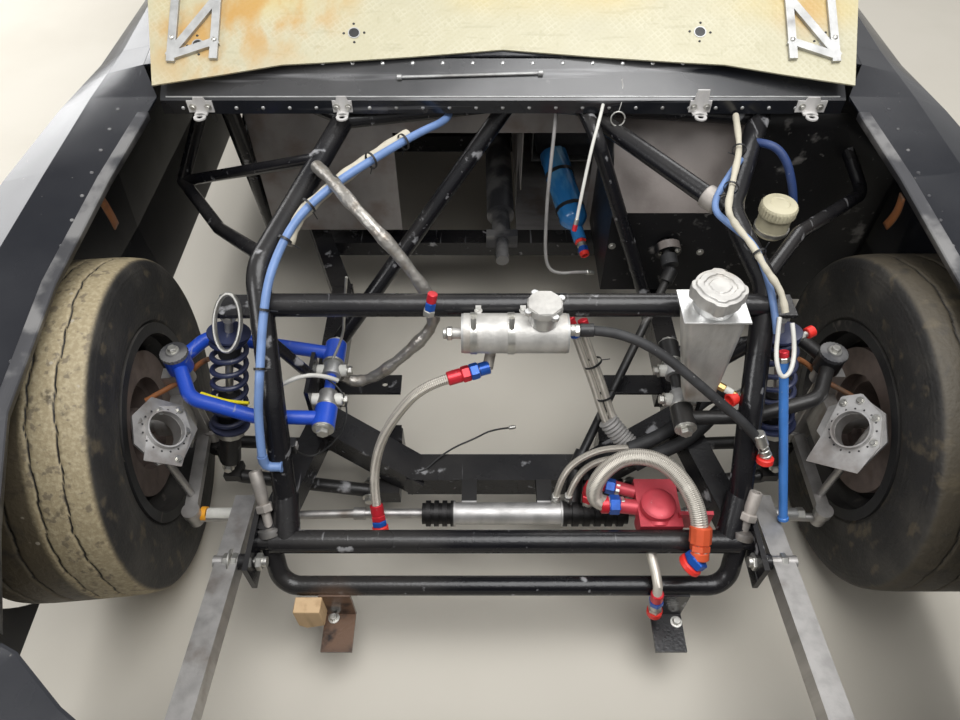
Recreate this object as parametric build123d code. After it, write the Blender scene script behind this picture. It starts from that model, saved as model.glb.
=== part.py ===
from build123d import *
import math
import os

os.makedirs("parts", exist_ok=True)

# Overall layout, millimetres. The nose points to -Y, +X is the driver's side, Z is up from the ground.
WHEELBASE = 2667.0
NOSE_OVERHANG = 1045.0
TAIL_OVERHANG = 1168.0
BODY_LENGTH = NOSE_OVERHANG + WHEELBASE + TAIL_OVERHANG
NOSE_Y = -BODY_LENGTH / 2
TAIL_Y = BODY_LENGTH / 2
FRONT_AXLE = NOSE_Y + NOSE_OVERHANG
REAR_AXLE = FRONT_AXLE + WHEELBASE
TRACK_HALF = 838.0

# Stock sizes
MAIN_TUBE = 22.25
BRACE_TUBE = 19.0
LIGHT_TUBE = 12.7
SHEET = 4.0
TIN = 2.5
PANEL_GAP = 0.6
SEAT_GAP = 0.3

# Wheels
TYRE_RADIUS = 345.0
TREAD_HALF = 119.0
BULGE_HALF = 135.0
BEAD_RADIUS = 193.0
RIM_HALF = 127.0
RIM_FLANGE = 208.0
RIM_SEAT = 192.0
RIM_WELL = 172.0
RIM_WALL = 6.0
DISC_OFFSET = 15.0
ROTOR_RADIUS = 152.0
ROTOR_INNER = 96.0
ROTOR_FACE = -62.0
ROTOR_THICK = 32.0
SPINDLE = 19.0
SPINDLE_FIT = 0.3
LUG_CIRCLE = 60.3
ARCH_RADIUS = 376.0

# Steering
KINGPIN_X = 650.0
KINGPIN_Y = FRONT_AXLE + 45.0
UPPER_BALL_Z = 480.0
LOWER_BALL_Z = 196.0
BALL_CUP = 26.0
BALL_STUD = 9.0
BALL_FIT = 0.3
ARM_REACH = 203.0
ARM_Z = 237.0
TIE_Z = 212.0
REST_TOE = 5.5
RACK_Y = FRONT_AXLE - 150.0
RACK_Z = 215.0
TIE_ROD = 10.0
RACK_BORE = 15.5
COLUMN = 9.5
COLUMN_FIT = 0.5
WHEEL_RIM = 186.0
YOKE_GAP = 11.4


def fwd(x, y, z):
    """a point whose y is measured from the front axle"""
    return (x, FRONT_AXLE + y, z)


def aft(x, y, z):
    """a point whose y is measured from the rear axle"""
    return (x, REAR_AXLE + y, z)


def flip(shape):
    """the shape mirrored to the other side of the car"""
    return mirror(shape, about=Plane.YZ)


def rod(start, end, radius):
    """round bar between two points"""
    run = Vector(*end) - Vector(*start)
    return Solid.make_cylinder(radius, run.length, Plane(origin=start, z_dir=run.normalized()))


def tube(points, radius, bend=None):
    """round tube along straight runs, joined by arcs of radius bend"""
    if len(points) == 2:
        return rod(points[0], points[1], radius)
    path = FilletPolyline(*points, radius=bend)
    section = Plane(origin=path @ 0, z_dir=path % 0) * Circle(radius)
    return sweep(section, path=path).solid()


def bar(start, end, width, height, lead=0.0):
    """box-section bar between two points; width lies level, lead lengthens both ends"""
    a, b = Vector(*start), Vector(*end)
    run = (b - a).normalized()
    level = Vector(0, 0, 1).cross(run)
    level = Vector(1, 0, 0) if level.length < 1e-6 else level.normalized()
    length = (b - a).length + 2 * lead
    at = Plane(origin=a - run * lead, x_dir=level, z_dir=run)
    return Solid.make_box(width, height, length, Plane(
        origin=at.origin - at.x_dir * (width / 2) - at.y_dir * (height / 2), x_dir=at.x_dir, z_dir=at.z_dir))


def block(low, high):
    """box between two corners"""
    size = [h - l for l, h in zip(low, high)]
    return Solid.make_box(*size, Plane(origin=low))


def fuse(pieces):
    """one solid from pieces that meet"""
    return pieces[0].fuse(*pieces[1:]).clean()


def offset_line(points, depth):
    """the open outline moved to the left of its travel by depth, with mitred corners"""
    out = []
    for i, (x, z) in enumerate(points):
        normals = []
        for j in (i - 1, i):
            if 0 <= j < len(points) - 1:
                dx, dz = points[j + 1][0] - points[j][0], points[j + 1][1] - points[j][1]
                length = math.hypot(dx, dz)
                normals.append((-dz / length, dx / length))
        nx = sum(n[0] for n in normals)
        nz = sum(n[1] for n in normals)
        k = 1.0 if len(normals) == 1 else 2.0 / (nx * nx + nz * nz)
        out.append((x + nx * k * depth, z + nz * k * depth))
    return out


def shell(stations, place, depth):
    """thin skin lofted through open outlines; place turns (station, a, b) into a point"""
    wires = []
    for station, outline in stations:
        ring = list(outline) + offset_line(outline, depth)[::-1]
        wires.append(Wire.make_polygon([Vector(*place(station, a, b)) for a, b in ring], close=True))
    return Solid.make_loft(wires, ruled=True)


def across(y, x, z):
    """station plane across the car"""
    return (x, y, z)


def level(z, x, y):
    """station plane parallel to the ground"""
    return (x, y, z)


def prism(outline, low, high, axis):
    """closed outline drawn out along an axis, from low to high"""
    if axis == "z":
        face = Face(Wire.make_polygon([Vector(a, b, low) for a, b in outline], close=True))
        return Solid.extrude(face, Vector(0, 0, high - low))
    face = Face(Wire.make_polygon([Vector(low, a, b) for a, b in outline], close=True))
    return Solid.extrude(face, Vector(high - low, 0, 0))


def spin_x(profile):
    """closed profile of (x, radius) points revolved about the X axis"""
    face = Face(Wire.make_polygon([Vector(x, 0, r) for x, r in profile], close=True))
    return Solid.revolve(face, 360, Axis.X)


SILL_GAP = 1.0
DOOR_FRONT = FRONT_AXLE + 640

# Greenhouse rows: (x, z) of the sill, drip edge, roof edge and crown
GLASS_ROWS = [
    (-835, [(748, 830), (690, 838), (500, 846), (0, 850)]),
    (-230, [(800, 842), (625, 1130), (560, 1172), (0, 1200)]),
    (300, [(801, 844), (630, 1145), (565, 1185), (0, 1212)]),
    (780, [(801, 847), (622, 1125), (560, 1168), (0, 1195)]),
    (1430, [(700, 870), (600, 888), (500, 896), (0, 903)]),
]


def sill(y):
    """inner edge of the body side where it runs along the foot of the greenhouse"""
    for (y0, low), (y1, high) in zip(GLASS_ROWS, GLASS_ROWS[1:]):
        if y0 <= y <= y1:
            share = (y - y0) / (y1 - y0)
            return (low[0][0] + share * (high[0][0] - low[0][0]) + SILL_GAP,
                    low[0][1] + share * (high[0][1] - low[0][1]))


# Body sections. Each row is a station y, then (x, z) from the inner edge over the shoulder to the rocker.
FENDER_ROWS = [
    (-560, [(672, 636), (800, 630), (905, 590), (952, 520), (972, 330), (955, 115)]),
    (-420, [(715, 672), (830, 676), (930, 640), (972, 570), (985, 330), (962, 115)]),
    (-250, [(752, 712), (855, 735), (945, 712), (982, 640), (990, 330), (965, 115)]),
    (0, [(763, 738), (865, 766), (950, 746), (984, 680), (990, 330), (965, 115)]),
    (250, [(742, 770), (855, 784), (945, 762), (982, 690), (990, 330), (965, 115)]),
    (478, [(706, 805), (842, 802), (918, 774), (962, 690), (982, 330), (962, 115)]),
    (560, [sill(FRONT_AXLE + 560), (832, 810), (900, 780), (951, 690), (977, 330), (959, 115)]),
    (640, [sill(DOOR_FRONT), (822, 818), (882, 786), (940, 690), (972, 330), (955, 115)]),
]
DOOR_ROWS = [
    (DOOR_FRONT, [sill(DOOR_FRONT), (822, 818), (882, 786), (940, 690), (972, 330), (955, 115)]),
    (-230, [sill(-230), (832, 833), (864, 801), (926, 690), (965, 330), (952, 115)]),
    (330, [sill(330), (838, 838), (868, 806), (928, 690), (966, 330), (952, 115)]),
]
QUARTER_END = 2210.0
QUARTER_ROWS = [
    (330, [sill(330), (838, 838), (868, 806), (928, 690), (966, 330), (952, 115)]),
    (780, [sill(780), (850, 842), (905, 812), (955, 690), (980, 330), (958, 115)]),
    (REAR_AXLE, [sill(REAR_AXLE), (850, 853), (935, 822), (977, 720), (986, 330), (960, 115)]),
    (1431, [sill(1430), (840, 862), (936, 828), (976, 720), (984, 345), (958, 150)]),
    (1440, [(655, 886), (838, 864), (936, 829), (976, 720), (984, 347), (958, 153)]),
    (QUARTER_END, [(655, 882), (820, 866), (925, 828), (965, 720), (972, 420), (950, 260)]),
]
# Nose rows: level z, then (x, y from the front axle) from the seam round to the centre
NOSE_ROWS = [
    (112, [(955, -560), (930, -720), (800, -905), (520, -1000), (0, -1020)]),
    (330, [(972, -560), (948, -735), (815, -930), (530, -1028), (0, -1045)]),
    (500, [(956, -560), (925, -725), (790, -905), (515, -995), (0, -1012)]),
    (572, [(915, -560), (865, -700), (735, -845), (500, -920), (0, -940)]),
    (622, [(760, -560), (700, -620), (590, -705), (470, -762), (0, -800)]),
    (640, [(672, -560), (640, -575), (560, -640), (455, -705), (0, -740)]),
]
# Tail rows: level z, then (x, y) from the seam round to the centre
TAIL_ROWS = [
    (260, [(950, 2210), (935, 2320), (850, 2372), (500, 2398), (0, 2405)]),
    (520, [(970, 2210), (955, 2345), (870, 2405), (510, 2433), (0, TAIL_Y)]),
    (720, [(965, 2210), (950, 2335), (860, 2392), (505, 2420), (0, 2428)]),
    (828, [(925, 2210), (905, 2320), (830, 2370), (500, 2400), (0, 2410)]),
    (876, [(800, 2210), (780, 2300), (700, 2342), (480, 2356), (0, 2360)]),
]


def mirrored(half):
    """a half outline that ends on the centre line, carried over to the other side"""
    return list(half) + [(-a, b) for a, b in half[-2::-1]]


def side_panel(rows, gap_front, gap_rear):
    """one skin of the body side, set back from its seams"""
    rows = [(y, list(line)) for y, line in rows]
    rows[0] = (rows[0][0] + gap_front, rows[0][1])
    rows[-1] = (rows[-1][0] - gap_rear, rows[-1][1])
    return shell(rows, across, -SHEET)


def arch(axle_y):
    """cutter for a wheel opening in the body side"""
    return Solid.make_cylinder(ARCH_RADIUS, 400, Plane(origin=(700, axle_y, TYRE_RADIUS), z_dir=(1, 0, 0)))


nodes = {}

# Body sides
fender = side_panel([(FRONT_AXLE + y, line) for y, line in FENDER_ROWS], 0, PANEL_GAP / 2) - arch(FRONT_AXLE)
door = side_panel(DOOR_ROWS, PANEL_GAP / 2, PANEL_GAP / 2)
quarter = side_panel(QUARTER_ROWS, PANEL_GAP / 2, 0) - arch(REAR_AXLE)
for name, skin in (("fender", fender), ("door", door), ("quarter", quarter)):
    nodes[name + "_left"] = skin
    nodes[name + "_right"] = flip(skin)

# Nose and tail covers
nose_rows = [(z, mirrored([(x, FRONT_AXLE + y - PANEL_GAP) if y == -560 else (x, FRONT_AXLE + y)
                           for x, y in half])) for z, half in NOSE_ROWS]
nose = shell(nose_rows, level, -SHEET)
GRILLE = ((-430, 150), (430, 270))
seam = FRONT_AXLE - 560 - PANEL_GAP
nose -= block((-1000, seam, 50), (1000, seam + 60, 700))
nose -= block((GRILLE[0][0], NOSE_Y - 50, GRILLE[0][1]), (GRILLE[1][0], NOSE_Y + 80, GRILLE[1][1]))
nodes["nose_cover"] = nose
tail_rows = [(z, mirrored([(x, y + PANEL_GAP) if y == 2210 else (x, y) for x, y in half]))
             for z, half in TAIL_ROWS]
LEDGE_Z = TAIL_ROWS[-1][0]
ledge = prism(mirrored(TAIL_ROWS[-1][1]), LEDGE_Z - SHEET, LEDGE_Z, "z") - block(
    (-657, QUARTER_END - 10, 800), (657, 2320, 950))
nodes["tail_cover"] = shell(tail_rows, level, SHEET).fuse(ledge).clean() - block(
    (-1000, QUARTER_END - 60, 200), (1000, QUARTER_END + PANEL_GAP, 950))

# Greenhouse with its glass
greenhouse = shell([(y, mirrored(half)) for y, half in GLASS_ROWS], across, SHEET)
WINDSHIELD = [(-640, -790), (640, -790), (532, -262), (-532, -262)]
BACKLIGHT = [(-525, 812), (525, 812), (575, 1385), (-575, 1385)]
SIDE_OPENING = [(-650, 866), (-232, 1100), (285, 1118), (285, 868)]
QUARTER_GLASS = [(372, 870), (372, 1112), (735, 1096), (1085, 930), (1120, 885)]


def shrink(outline, gap):
    """a convex outline pulled in towards its middle by about gap"""
    cx = sum(p[0] for p in outline) / len(outline)
    cy = sum(p[1] for p in outline) / len(outline)
    out = []
    for a, b in outline:
        reach = math.hypot(a - cx, b - cy)
        out.append((a - (a - cx) * gap * 1.4 / reach, b - (b - cy) * gap * 1.4 / reach))
    return out


roof = greenhouse - prism(WINDSHIELD, 700, 1300, "z") - prism(BACKLIGHT, 700, 1300, "z")
side_glass = []
for low in (-850, 560):
    roof = roof - prism(SIDE_OPENING, low, low + 290, "x") - prism(QUARTER_GLASS, low, low + 290, "x")
    side_glass.append(greenhouse & prism(shrink(QUARTER_GLASS, PANEL_GAP), low, low + 290, "x"))
nodes["roof_shell"] = roof
nodes["windshield"] = greenhouse & prism(shrink(WINDSHIELD, PANEL_GAP), 700, 1300, "z")
rear_pane = greenhouse & prism(shrink(BACKLIGHT, PANEL_GAP), 700, 1300, "z")
nodes["rear_windows"] = [rear_pane] + side_glass

# Cowl: a sheet from the front lip up to the foot of the windshield
COWL_Y = FRONT_AXLE + 478
COWL_Z = 800.0
COWL_HALF = 702.0
cowl_line = [(-837.4, 844.2), (COWL_Y + 4, COWL_Z), (COWL_Y, COWL_Z - 4), (COWL_Y, COWL_Z - 34)]
cowl = shell([(-COWL_HALF, cowl_line), (COWL_HALF, cowl_line)], lambda x, y, z: (x, y, z), SHEET)
cowl -= block((-238, COWL_Y - 1, COWL_Z - 60), (230, COWL_Y + 1.5, COWL_Z - 18))
nodes["cowl_panel"] = cowl

# Hood, laid upside down on the windshield; local x across, local y up the slope, local z off the glass
HOOD_TILT = math.degrees(math.atan2(1200 - 850, 835 - 230))
HOOD_CROWN = 34.0
HOOD_WIDE = 750.0
HOOD_OUTLINE = [
    (702, -98), (735, 180), (748, 480), (748, 730), (678, 995), (577, 1059), (490, 1125), (250, 1190),
    (0, 1208),
]
hood_seat = Plane(origin=(0, -835, 850), x_dir=(1, 0, 0), z_dir=(0, -math.sin(math.radians(HOOD_TILT)),
                  math.cos(math.radians(HOOD_TILT))))
hood_at = hood_seat.location * Pos(0, 10, SEAT_GAP)
hood_line = [(HOOD_WIDE * k / 4, HOOD_CROWN * (k / 4) ** 2) for k in range(-4, 5)]
hood_blank = shell([(-120, hood_line), (1230, hood_line)], across, SHEET)
hood_plan = HOOD_OUTLINE + [(-a, b) for a, b in HOOD_OUTLINE[-2::-1]] + [(-450, -42), (0, 0), (450, -42)]
nodes["hood_panel"] = (hood_blank & prism(hood_plan, -20, 80, "z")).moved(hood_at)

# Aluminium stiffener ladders on the hood's underside, which faces up
LADDER_IN, LADDER_OUT = 585.0, 668.0
LADDER_BAR = 16.0
ladder_slope = math.degrees(math.atan2(
    HOOD_CROWN * (LADDER_OUT ** 2 - LADDER_IN ** 2) / HOOD_WIDE ** 2, LADDER_OUT - LADDER_IN))
LADDER_RISE = HOOD_CROWN * (LADDER_OUT / HOOD_WIDE) ** 2 + SHEET + 0.9
ladder_bars = [((LADDER_IN, -30), (LADDER_IN, 960)), ((LADDER_OUT, -40), (LADDER_OUT, 960)),
               ((LADDER_IN, 0), (LADDER_OUT, -36)), ((LADDER_IN, 100), (LADDER_OUT, -30))]
ladder_bars += [((LADDER_IN, 120 + 120 * k), (LADDER_OUT, 120 + 120 * k)) for k in range(8)]
ladder = fuse([bar((a[0] - LADDER_OUT, a[1], 4), (b[0] - LADDER_OUT, b[1], 4), LADDER_BAR, 8.0, 8.0)
               for a, b in ladder_bars])
ladder = ladder.moved(hood_at * Pos(LADDER_OUT, 0, LADDER_RISE) * Rot(0, -ladder_slope, 0))
nodes["hood_stiffeners"] = [ladder, flip(ladder)]

# Deck lid with its spoiler, hinged along its front edge
DECK_FRONT = 1446.0
DECK_REAR = 2352.0
DECK_HALF = 649.0
HINGE_X, HINGE_Y, HINGE_Z, HINGE_PIN = 480.0, 1475.0, 874.0, 5.0
deck_line = [(DECK_HALF, 884), (500, 893), (0, 899)]
deck_rear_line = [(DECK_HALF, 880), (500, 884), (0, 888)]
deck = shell([(DECK_FRONT + 6, mirrored(deck_line)), (DECK_REAR - 40, mirrored(deck_rear_line))], across,
             SHEET)
SPOILER_TALL = 150.0
SPOILER_LEAN = 62.0
lean = math.radians(SPOILER_LEAN)
spoiler_foot = (DECK_REAR - 62, 884)
blade = [(spoiler_foot[0], spoiler_foot[1]),
         (spoiler_foot[0] + SPOILER_TALL * math.cos(lean), spoiler_foot[1] + SPOILER_TALL * math.sin(lean))]
spoiler = shell([(-DECK_HALF, blade), (DECK_HALF, blade)], lambda x, y, z: (x, y, z), -SHEET)
deck_rib = [block((x - 12, DECK_FRONT + 60, 870), (x + 12, DECK_REAR - 90, 890)) for x in (-420, 0, 420)]
ears = [block((x - 8, HINGE_Y - 9, HINGE_Z - 9), (x + 8, HINGE_Y + 9, HINGE_Z + 17)) for x in (-HINGE_X,
        HINGE_X)]
lid = fuse([deck, spoiler] + deck_rib + ears) - rod((-600, HINGE_Y, HINGE_Z), (600, HINGE_Y, HINGE_Z),
                                                    HINGE_PIN + 0.3)
hinges = []
for x in (-HINGE_X, HINGE_X):
    lid -= block((x + 8, DECK_FRONT, HINGE_Z - 20), (x + 23, HINGE_Y + 14, HINGE_Z + 40))
    hinges += [rod((x - 14, HINGE_Y, HINGE_Z), (x + 18, HINGE_Y, HINGE_Z), HINGE_PIN),
               block((x + 13.5, 1380, 856), (x + 17.5, HINGE_Y + 7, HINGE_Z + 7))]
nodes["deck_lid"] = lid

# Main frame: box rails, front crossmember, rear kick-up, all welded
RAIL_W, RAIL_H = 50.0, 76.0
LINK_Y = -490.0
CELL_BAR = 50.0
FRONT_RAIL = [fwd(385, 20, 305), fwd(400, 450, 250), fwd(600, 1000, 165), fwd(690, 1340, 150)]
SIDE_RAIL = [fwd(690, 1340, 150), aft(690, -640, 150)]
REAR_RAIL = [aft(690, -640, 150), aft(520, -490, 172), aft(496, -300, 330), aft(494, -140, 520),
             aft(494, 330, 520), aft(494, 900, 430)]
frame_bits = []
for side in (1, -1):
    for run in (FRONT_RAIL, SIDE_RAIL, REAR_RAIL):
        for p, q in zip(run, run[1:]):
            frame_bits.append(bar((side * p[0], p[1], p[2]), (side * q[0], q[1], q[2]), RAIL_W, RAIL_H, 14))
CROSS_DROP = [fwd(-385, 20, 300), fwd(-190, -40, 190), fwd(190, -40, 190), fwd(385, 20, 300)]
frame_bits += [bar(p, q, 66, 62, 18) for p, q in zip(CROSS_DROP, CROSS_DROP[1:])]
frame_bits += [bar(fwd(-478, 700, 226), fwd(478, 700, 226), 56, 46),
               bar(fwd(-668, 1330, 150), fwd(668, 1330, 150), 50, 60),
               bar(aft(-648, LINK_Y, 172), aft(648, LINK_Y, 172), 50, 50),
               bar(aft(-490, 330, 512), aft(490, 330, 512), CELL_BAR, CELL_BAR),
               bar(aft(-490, 890, 432), aft(490, 890, 432), CELL_BAR, CELL_BAR)]
# Engine mount shelves and the pads of the lower control arms
MOUNT_HOLE = 6.5
MOUNT_X, MOUNT_Y, MOUNT_Z, MOUNT_PLATE = 262.0, FRONT_AXLE + 128, 302.0, 6.0
for side in (1, -1):
    shelf = block((min(side * 225, side * 392), MOUNT_Y - 26, MOUNT_Z - MOUNT_PLATE),
                  (max(side * 225, side * 392), MOUNT_Y + 26, MOUNT_Z))
    shelf -= Solid.make_cylinder(MOUNT_HOLE, 20, Plane(origin=(side * MOUNT_X, MOUNT_Y, MOUNT_Z - 13)))
    gusset = block((min(side * 352, side * 372), MOUNT_Y - 26, 250),
                   (max(side * 352, side * 372), MOUNT_Y + 26, 300))
    frame_bits += [shelf, gusset]
    for y in (-58, 60):
        low, high = sorted((side * 226, side * 274))
        frame_bits.append(block((low, FRONT_AXLE + y - 18, 128),
                                (high, FRONT_AXLE + y + 18, 172 if y < 0 else 200)))
    frame_bits.append(bar(fwd(side * 250, -40, 176), fwd(side * 250, 90, 184), 40, 24))
    frame_bits.append(bar(fwd(side * 385, 20, 300), fwd(side * 452, -236, 300), 48, 56, 10))
rack_ends_y = (REAR_AXLE + 330 + CELL_BAR / 2, REAR_AXLE + 890 - CELL_BAR / 2)
for side in (1, -1):
    frame_bits.append(bar((side * 334, rack_ends_y[0] - 6, 512), (side * 334, rack_ends_y[1] + 6, 434), 25,
                          25))
    frame_bits += [bar((side * 334, y, 240), (side * 334, y, 480 if y < 1900 else 446), 25,
                       22) for y in (1760, 2050)]
frame_bits += [bar((-334, y, 246), (334, y, 246), 25, 22, 12) for y in (1760, 2050)]
nodes["main_frame"] = fuse(frame_bits)

# Front clip: hoops over the arms, cross tube, braces and bumper tubes
HEAD_Z = 741.0
HOOP_RIGHT = [fwd(-335, 505, HEAD_Z), fwd(-452, 88, 690), fwd(-430, -78, 520), fwd(-423, -185, 350)]
HOOP_LEFT = [fwd(548, 505, HEAD_Z), fwd(434, 236, 708), fwd(479, 76, 660), fwd(458, -78, 508), fwd(455, -185,
             350)]
OUTRIGGER = [fwd(700, 640, 715), fwd(775, 560, 660), fwd(800, 430, 600), fwd(575, 215, 668), fwd(482, 96,
             662)]
CROSS_Z = 640.0
CROSS_TUBE = 21.5
CROSS_Y = FRONT_AXLE + 46.0
clip_bits = [
    tube(HOOP_RIGHT, MAIN_TUBE, 90),
    tube(HOOP_LEFT, MAIN_TUBE, 70),
    tube(OUTRIGGER, LIGHT_TUBE + 1.3, 45),
    rod((-448, CROSS_Y, CROSS_Z), (477, CROSS_Y, CROSS_Z), CROSS_TUBE),
    rod(fwd(-423, -180, 350), fwd(-418, -248, 300), MAIN_TUBE + 3),
    rod(fwd(455, -180, 350), fwd(430, -248, 300), MAIN_TUBE + 3),
    rod(fwd(-448, -255, 300), fwd(448, -255, 300), MAIN_TUBE),
    tube([fwd(-452, -250, 290), fwd(-436, -307, 215), fwd(436, -307, 215), fwd(452, -250, 290)], BRACE_TUBE,
         45),
    rod(fwd(16, 560, HEAD_Z + 2), fwd(-380, 262, 300), BRACE_TUBE),
    rod(fwd(168, 545, HEAD_Z + 2), fwd(428, 236, 708), BRACE_TUBE),
    tube([fwd(172, 545, HEAD_Z + 2), fwd(188, 432, 756), fwd(375, 345, 290)], BRACE_TUBE - 3, 50),
    rod(fwd(-338, 492, HEAD_Z), fwd(16, 560, HEAD_Z + 2), BRACE_TUBE - 2),
    rod(fwd(-112, 530, 744), fwd(-113.5, 508, 747), 9),
    rod(fwd(16, 560, HEAD_Z + 2), fwd(548, 505, HEAD_Z), BRACE_TUBE - 2),
]
for side in (1, -1):
    plate_in, plate_out = sorted((side * 470, side * 480))
    clip_bits.append(block((plate_in, FRONT_AXLE - 330, 258), (plate_out, FRONT_AXLE - 205, 338)))
    clip_bits.append(rod(fwd(side * 430, -255, 300), fwd(side * 474, -255, 300), 16))
    clip_bits.append(rod(fwd(side * 474, -296, 300), fwd(side * 500, -296, 300), 15))
    low, high = sorted((side * 300, side * 362))
    clip_bits.append(block((low, FRONT_AXLE - 330, 122), (high, FRONT_AXLE - 324, 216)))
    clip_bits.append(block((low, FRONT_AXLE - 405, 120), (high, FRONT_AXLE - 324, 126)))
    # shock tower plate and the plate that carries the upper arm's shaft
    low, high = sorted((side * 380, side * 388))
    clip_bits.append(block((low, FRONT_AXLE - 32, 320), (high, FRONT_AXLE + 72, 478)))
    clip_bits.append(rod(fwd(side * 384, 20, 468), fwd(462, 4, 584) if side > 0 else fwd(-440, 4, 600), 11))
    low, high = sorted((side * 450, side * 540))
    clip_bits.append(block((low, FRONT_AXLE + 40, 610.9), (high, FRONT_AXLE + 94, 619.5)))
# outboard braces that carry the body
clip_bits += [rod(fwd(-446, 122, 690), fwd(-627, 377, 545), LIGHT_TUBE + 2),
              rod(fwd(-627, 377, 545), fwd(-770, 585, 520), LIGHT_TUBE + 2),
              rod(fwd(-770, 585, 520), fwd(-640, 600, 770), LIGHT_TUBE + 2),
              rod(fwd(-770, 585, 520), fwd(-372, 360, 738), LIGHT_TUBE)]
nodes["front_clip"] = fuse(clip_bits) - nodes["main_frame"]

# Roll cage
HOOP_Y = 250.0
CAGE_FOOT = 160.0
cage_bits = [
    tube([(-655, HOOP_Y, CAGE_FOOT), (-655, HOOP_Y, 900), (-520, HOOP_Y, 1150), (520, HOOP_Y, 1150),
          (655, HOOP_Y, 900), (655, HOOP_Y, CAGE_FOOT)], MAIN_TUBE, 90),
    tube([(-505, HOOP_Y, 1150), (-505, -215, 1132), (505, -215, 1132), (505, HOOP_Y, 1150)], MAIN_TUBE - 0.8,
         70),
    rod((-650, HOOP_Y, 780), (650, HOOP_Y, 780), BRACE_TUBE),
    rod((-640, HOOP_Y, 380), (470, HOOP_Y, 1146), BRACE_TUBE - 1),
]
for side in (1, -1):
    knee = (side * 622, -790, 806)
    cage_bits += [
        rod((side * 490, -212, 1131), knee, BRACE_TUBE),
        rod(knee, (side * 640, -640, 184), BRACE_TUBE + 1),
        rod(knee, fwd(side * (548 if side > 0 else 335), 505, HEAD_Z), BRACE_TUBE - 1.5),
        rod((side * 440, HOOP_Y, 1148), aft(side * 494, 330, 520), BRACE_TUBE),
        rod(aft(side * 484, 98, 649.8), aft(side * 606, 98, 649.8), 15),
    ]
    heights, bow, bend = ((270, 400, 530, 660), 745, 120) if side > 0 else ((330, 560), 668, 200)
    for z in heights:
        cage_bits.append(tube([(side * (636 - (z - 184) * 0.03), -660 - (z - 184) * 0.2, z),
                               (side * bow, -420, z),
                               (side * bow, 90, z), (side * 652, HOOP_Y, z)], BRACE_TUBE - 1.5, bend))
cage_bits.append(rod((-622, -790, 806), (622, -790, 806), BRACE_TUBE - 2.5))
nodes["roll_cage"] = fuse(cage_bits) - nodes["main_frame"] - nodes["front_clip"]

# Floor, firewall, foot box and interior sheets
FLOOR_Z = 204.6
TUNNEL_TOP = 402.0
floor_bits = [
    block((60, -664, FLOOR_Z), (440, -390, FLOOR_Z + TIN)),
    block((60, -392, FLOOR_Z), (600, 225, FLOOR_Z + TIN)),
    block((-600, -60, FLOOR_Z), (60, 225, FLOOR_Z + TIN)),
    block((60, -500, FLOOR_Z), (60 + TIN, 225, TUNNEL_TOP)),
    block((-240, -60, TUNNEL_TOP), (60 + TIN, 225, TUNNEL_TOP + TIN)),
    block((-240, -60, FLOOR_Z), (-240 + TIN, 225, TUNNEL_TOP + 1)),
]
floor_pan = fuse(floor_bits)
bulkhead = block((-600, 284, 190), (600, 284 + TIN, 830)) - block((-95, 280, 180), (105, 290, 420))
bulkhead = fuse(hinges + [bulkhead,
                          shell([(-600, [(284, 830), (1392, 862)]), (600, [(284, 830), (1392, 862)])],
                                lambda x, y, z: (x, y, z), -TIN)
                          - rod((440, HOOP_Y, 1148), aft(494, 330, 520), BRACE_TUBE + SEAT_GAP)
                          - rod((-440, HOOP_Y, 1148), aft(-494, 330, 520), BRACE_TUBE + SEAT_GAP)])
PASSENGER_DECK = 640.0
passenger_deck = fuse([block((-600, -690, PASSENGER_DECK), (62, 231.7, PASSENGER_DECK + TIN)),
                       block((62 - TIN, -690, TUNNEL_TOP + TIN + SEAT_GAP), (62, 215, PASSENGER_DECK + 1))])
nodes["interior_sheets"] = [floor_pan, bulkhead, passenger_deck]
FIREWALL_Y = FRONT_AXLE + 668.0
firewall = block((-608.3, FIREWALL_Y, 300), (608.3, FIREWALL_Y + TIN, 752))
firewall -= block((-260, FIREWALL_Y - 5, 290), (236, FIREWALL_Y + 9, 600))
column_top = Vector(330, -330, 692)
column_low = Vector(*fwd(389, 385, 462))
column_dir = (column_low - column_top).normalized()
column_hole = rod(tuple(column_top), tuple(column_low + column_dir * 60), 22)
nodes["firewall"] = firewall - column_hole
BOX = dict(x0=250, x1=545, y0=404, y1=668 - SEAT_GAP, z0=330, z1=560, top_y=575, top_z=745)
box_line = [(FRONT_AXLE + BOX["y1"], BOX["z0"]), (FRONT_AXLE + BOX["y0"], BOX["z0"]),
            (FRONT_AXLE + BOX["y0"] + 8, BOX["z1"]), (FRONT_AXLE + BOX["top_y"], BOX["top_z"]),
            (FRONT_AXLE + BOX["y1"], BOX["top_z"])]
box_out = prism(box_line, BOX["x0"], BOX["x1"], "x")
box_in = prism([(y + dy, z + dz) for (y, z), (dy, dz) in zip(box_line, (
    (9, TIN), (TIN, TIN), (TIN, -1), (TIN, -TIN), (9, -TIN)))], BOX["x0"] + TIN, BOX["x1"] - TIN, "x")
flange_at = Plane(origin=fwd(389, 407, 469), z_dir=tuple(column_dir))
flange = Solid.make_cylinder(30, 20, flange_at)
footbox = ((box_out - box_in).fuse(flange)) - column_hole
column_bush = Solid.make_cylinder(22.5, 12, flange_at) - rod(tuple(column_top), tuple(column_low),
                                                             COLUMN + COLUMN_FIT)
nodes["footbox"] = footbox.fuse(column_bush).clean()

# Dashboard with round dial holes
dash = block((-40, -652, PASSENGER_DECK + TIN + SEAT_GAP), (560, -648, 792))
for k in range(5):
    dash -= Solid.make_cylinder(26, 20, Plane(origin=(40 + 78 * k, -660, 742), z_dir=(0, 1, 0)))
dash = dash.fuse(block((-40, -652, 788), (560, -600, 792))) - rod(tuple(column_top), tuple(column_low),
                                                                  COLUMN + 12)
nodes["dash_panel"] = dash

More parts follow.
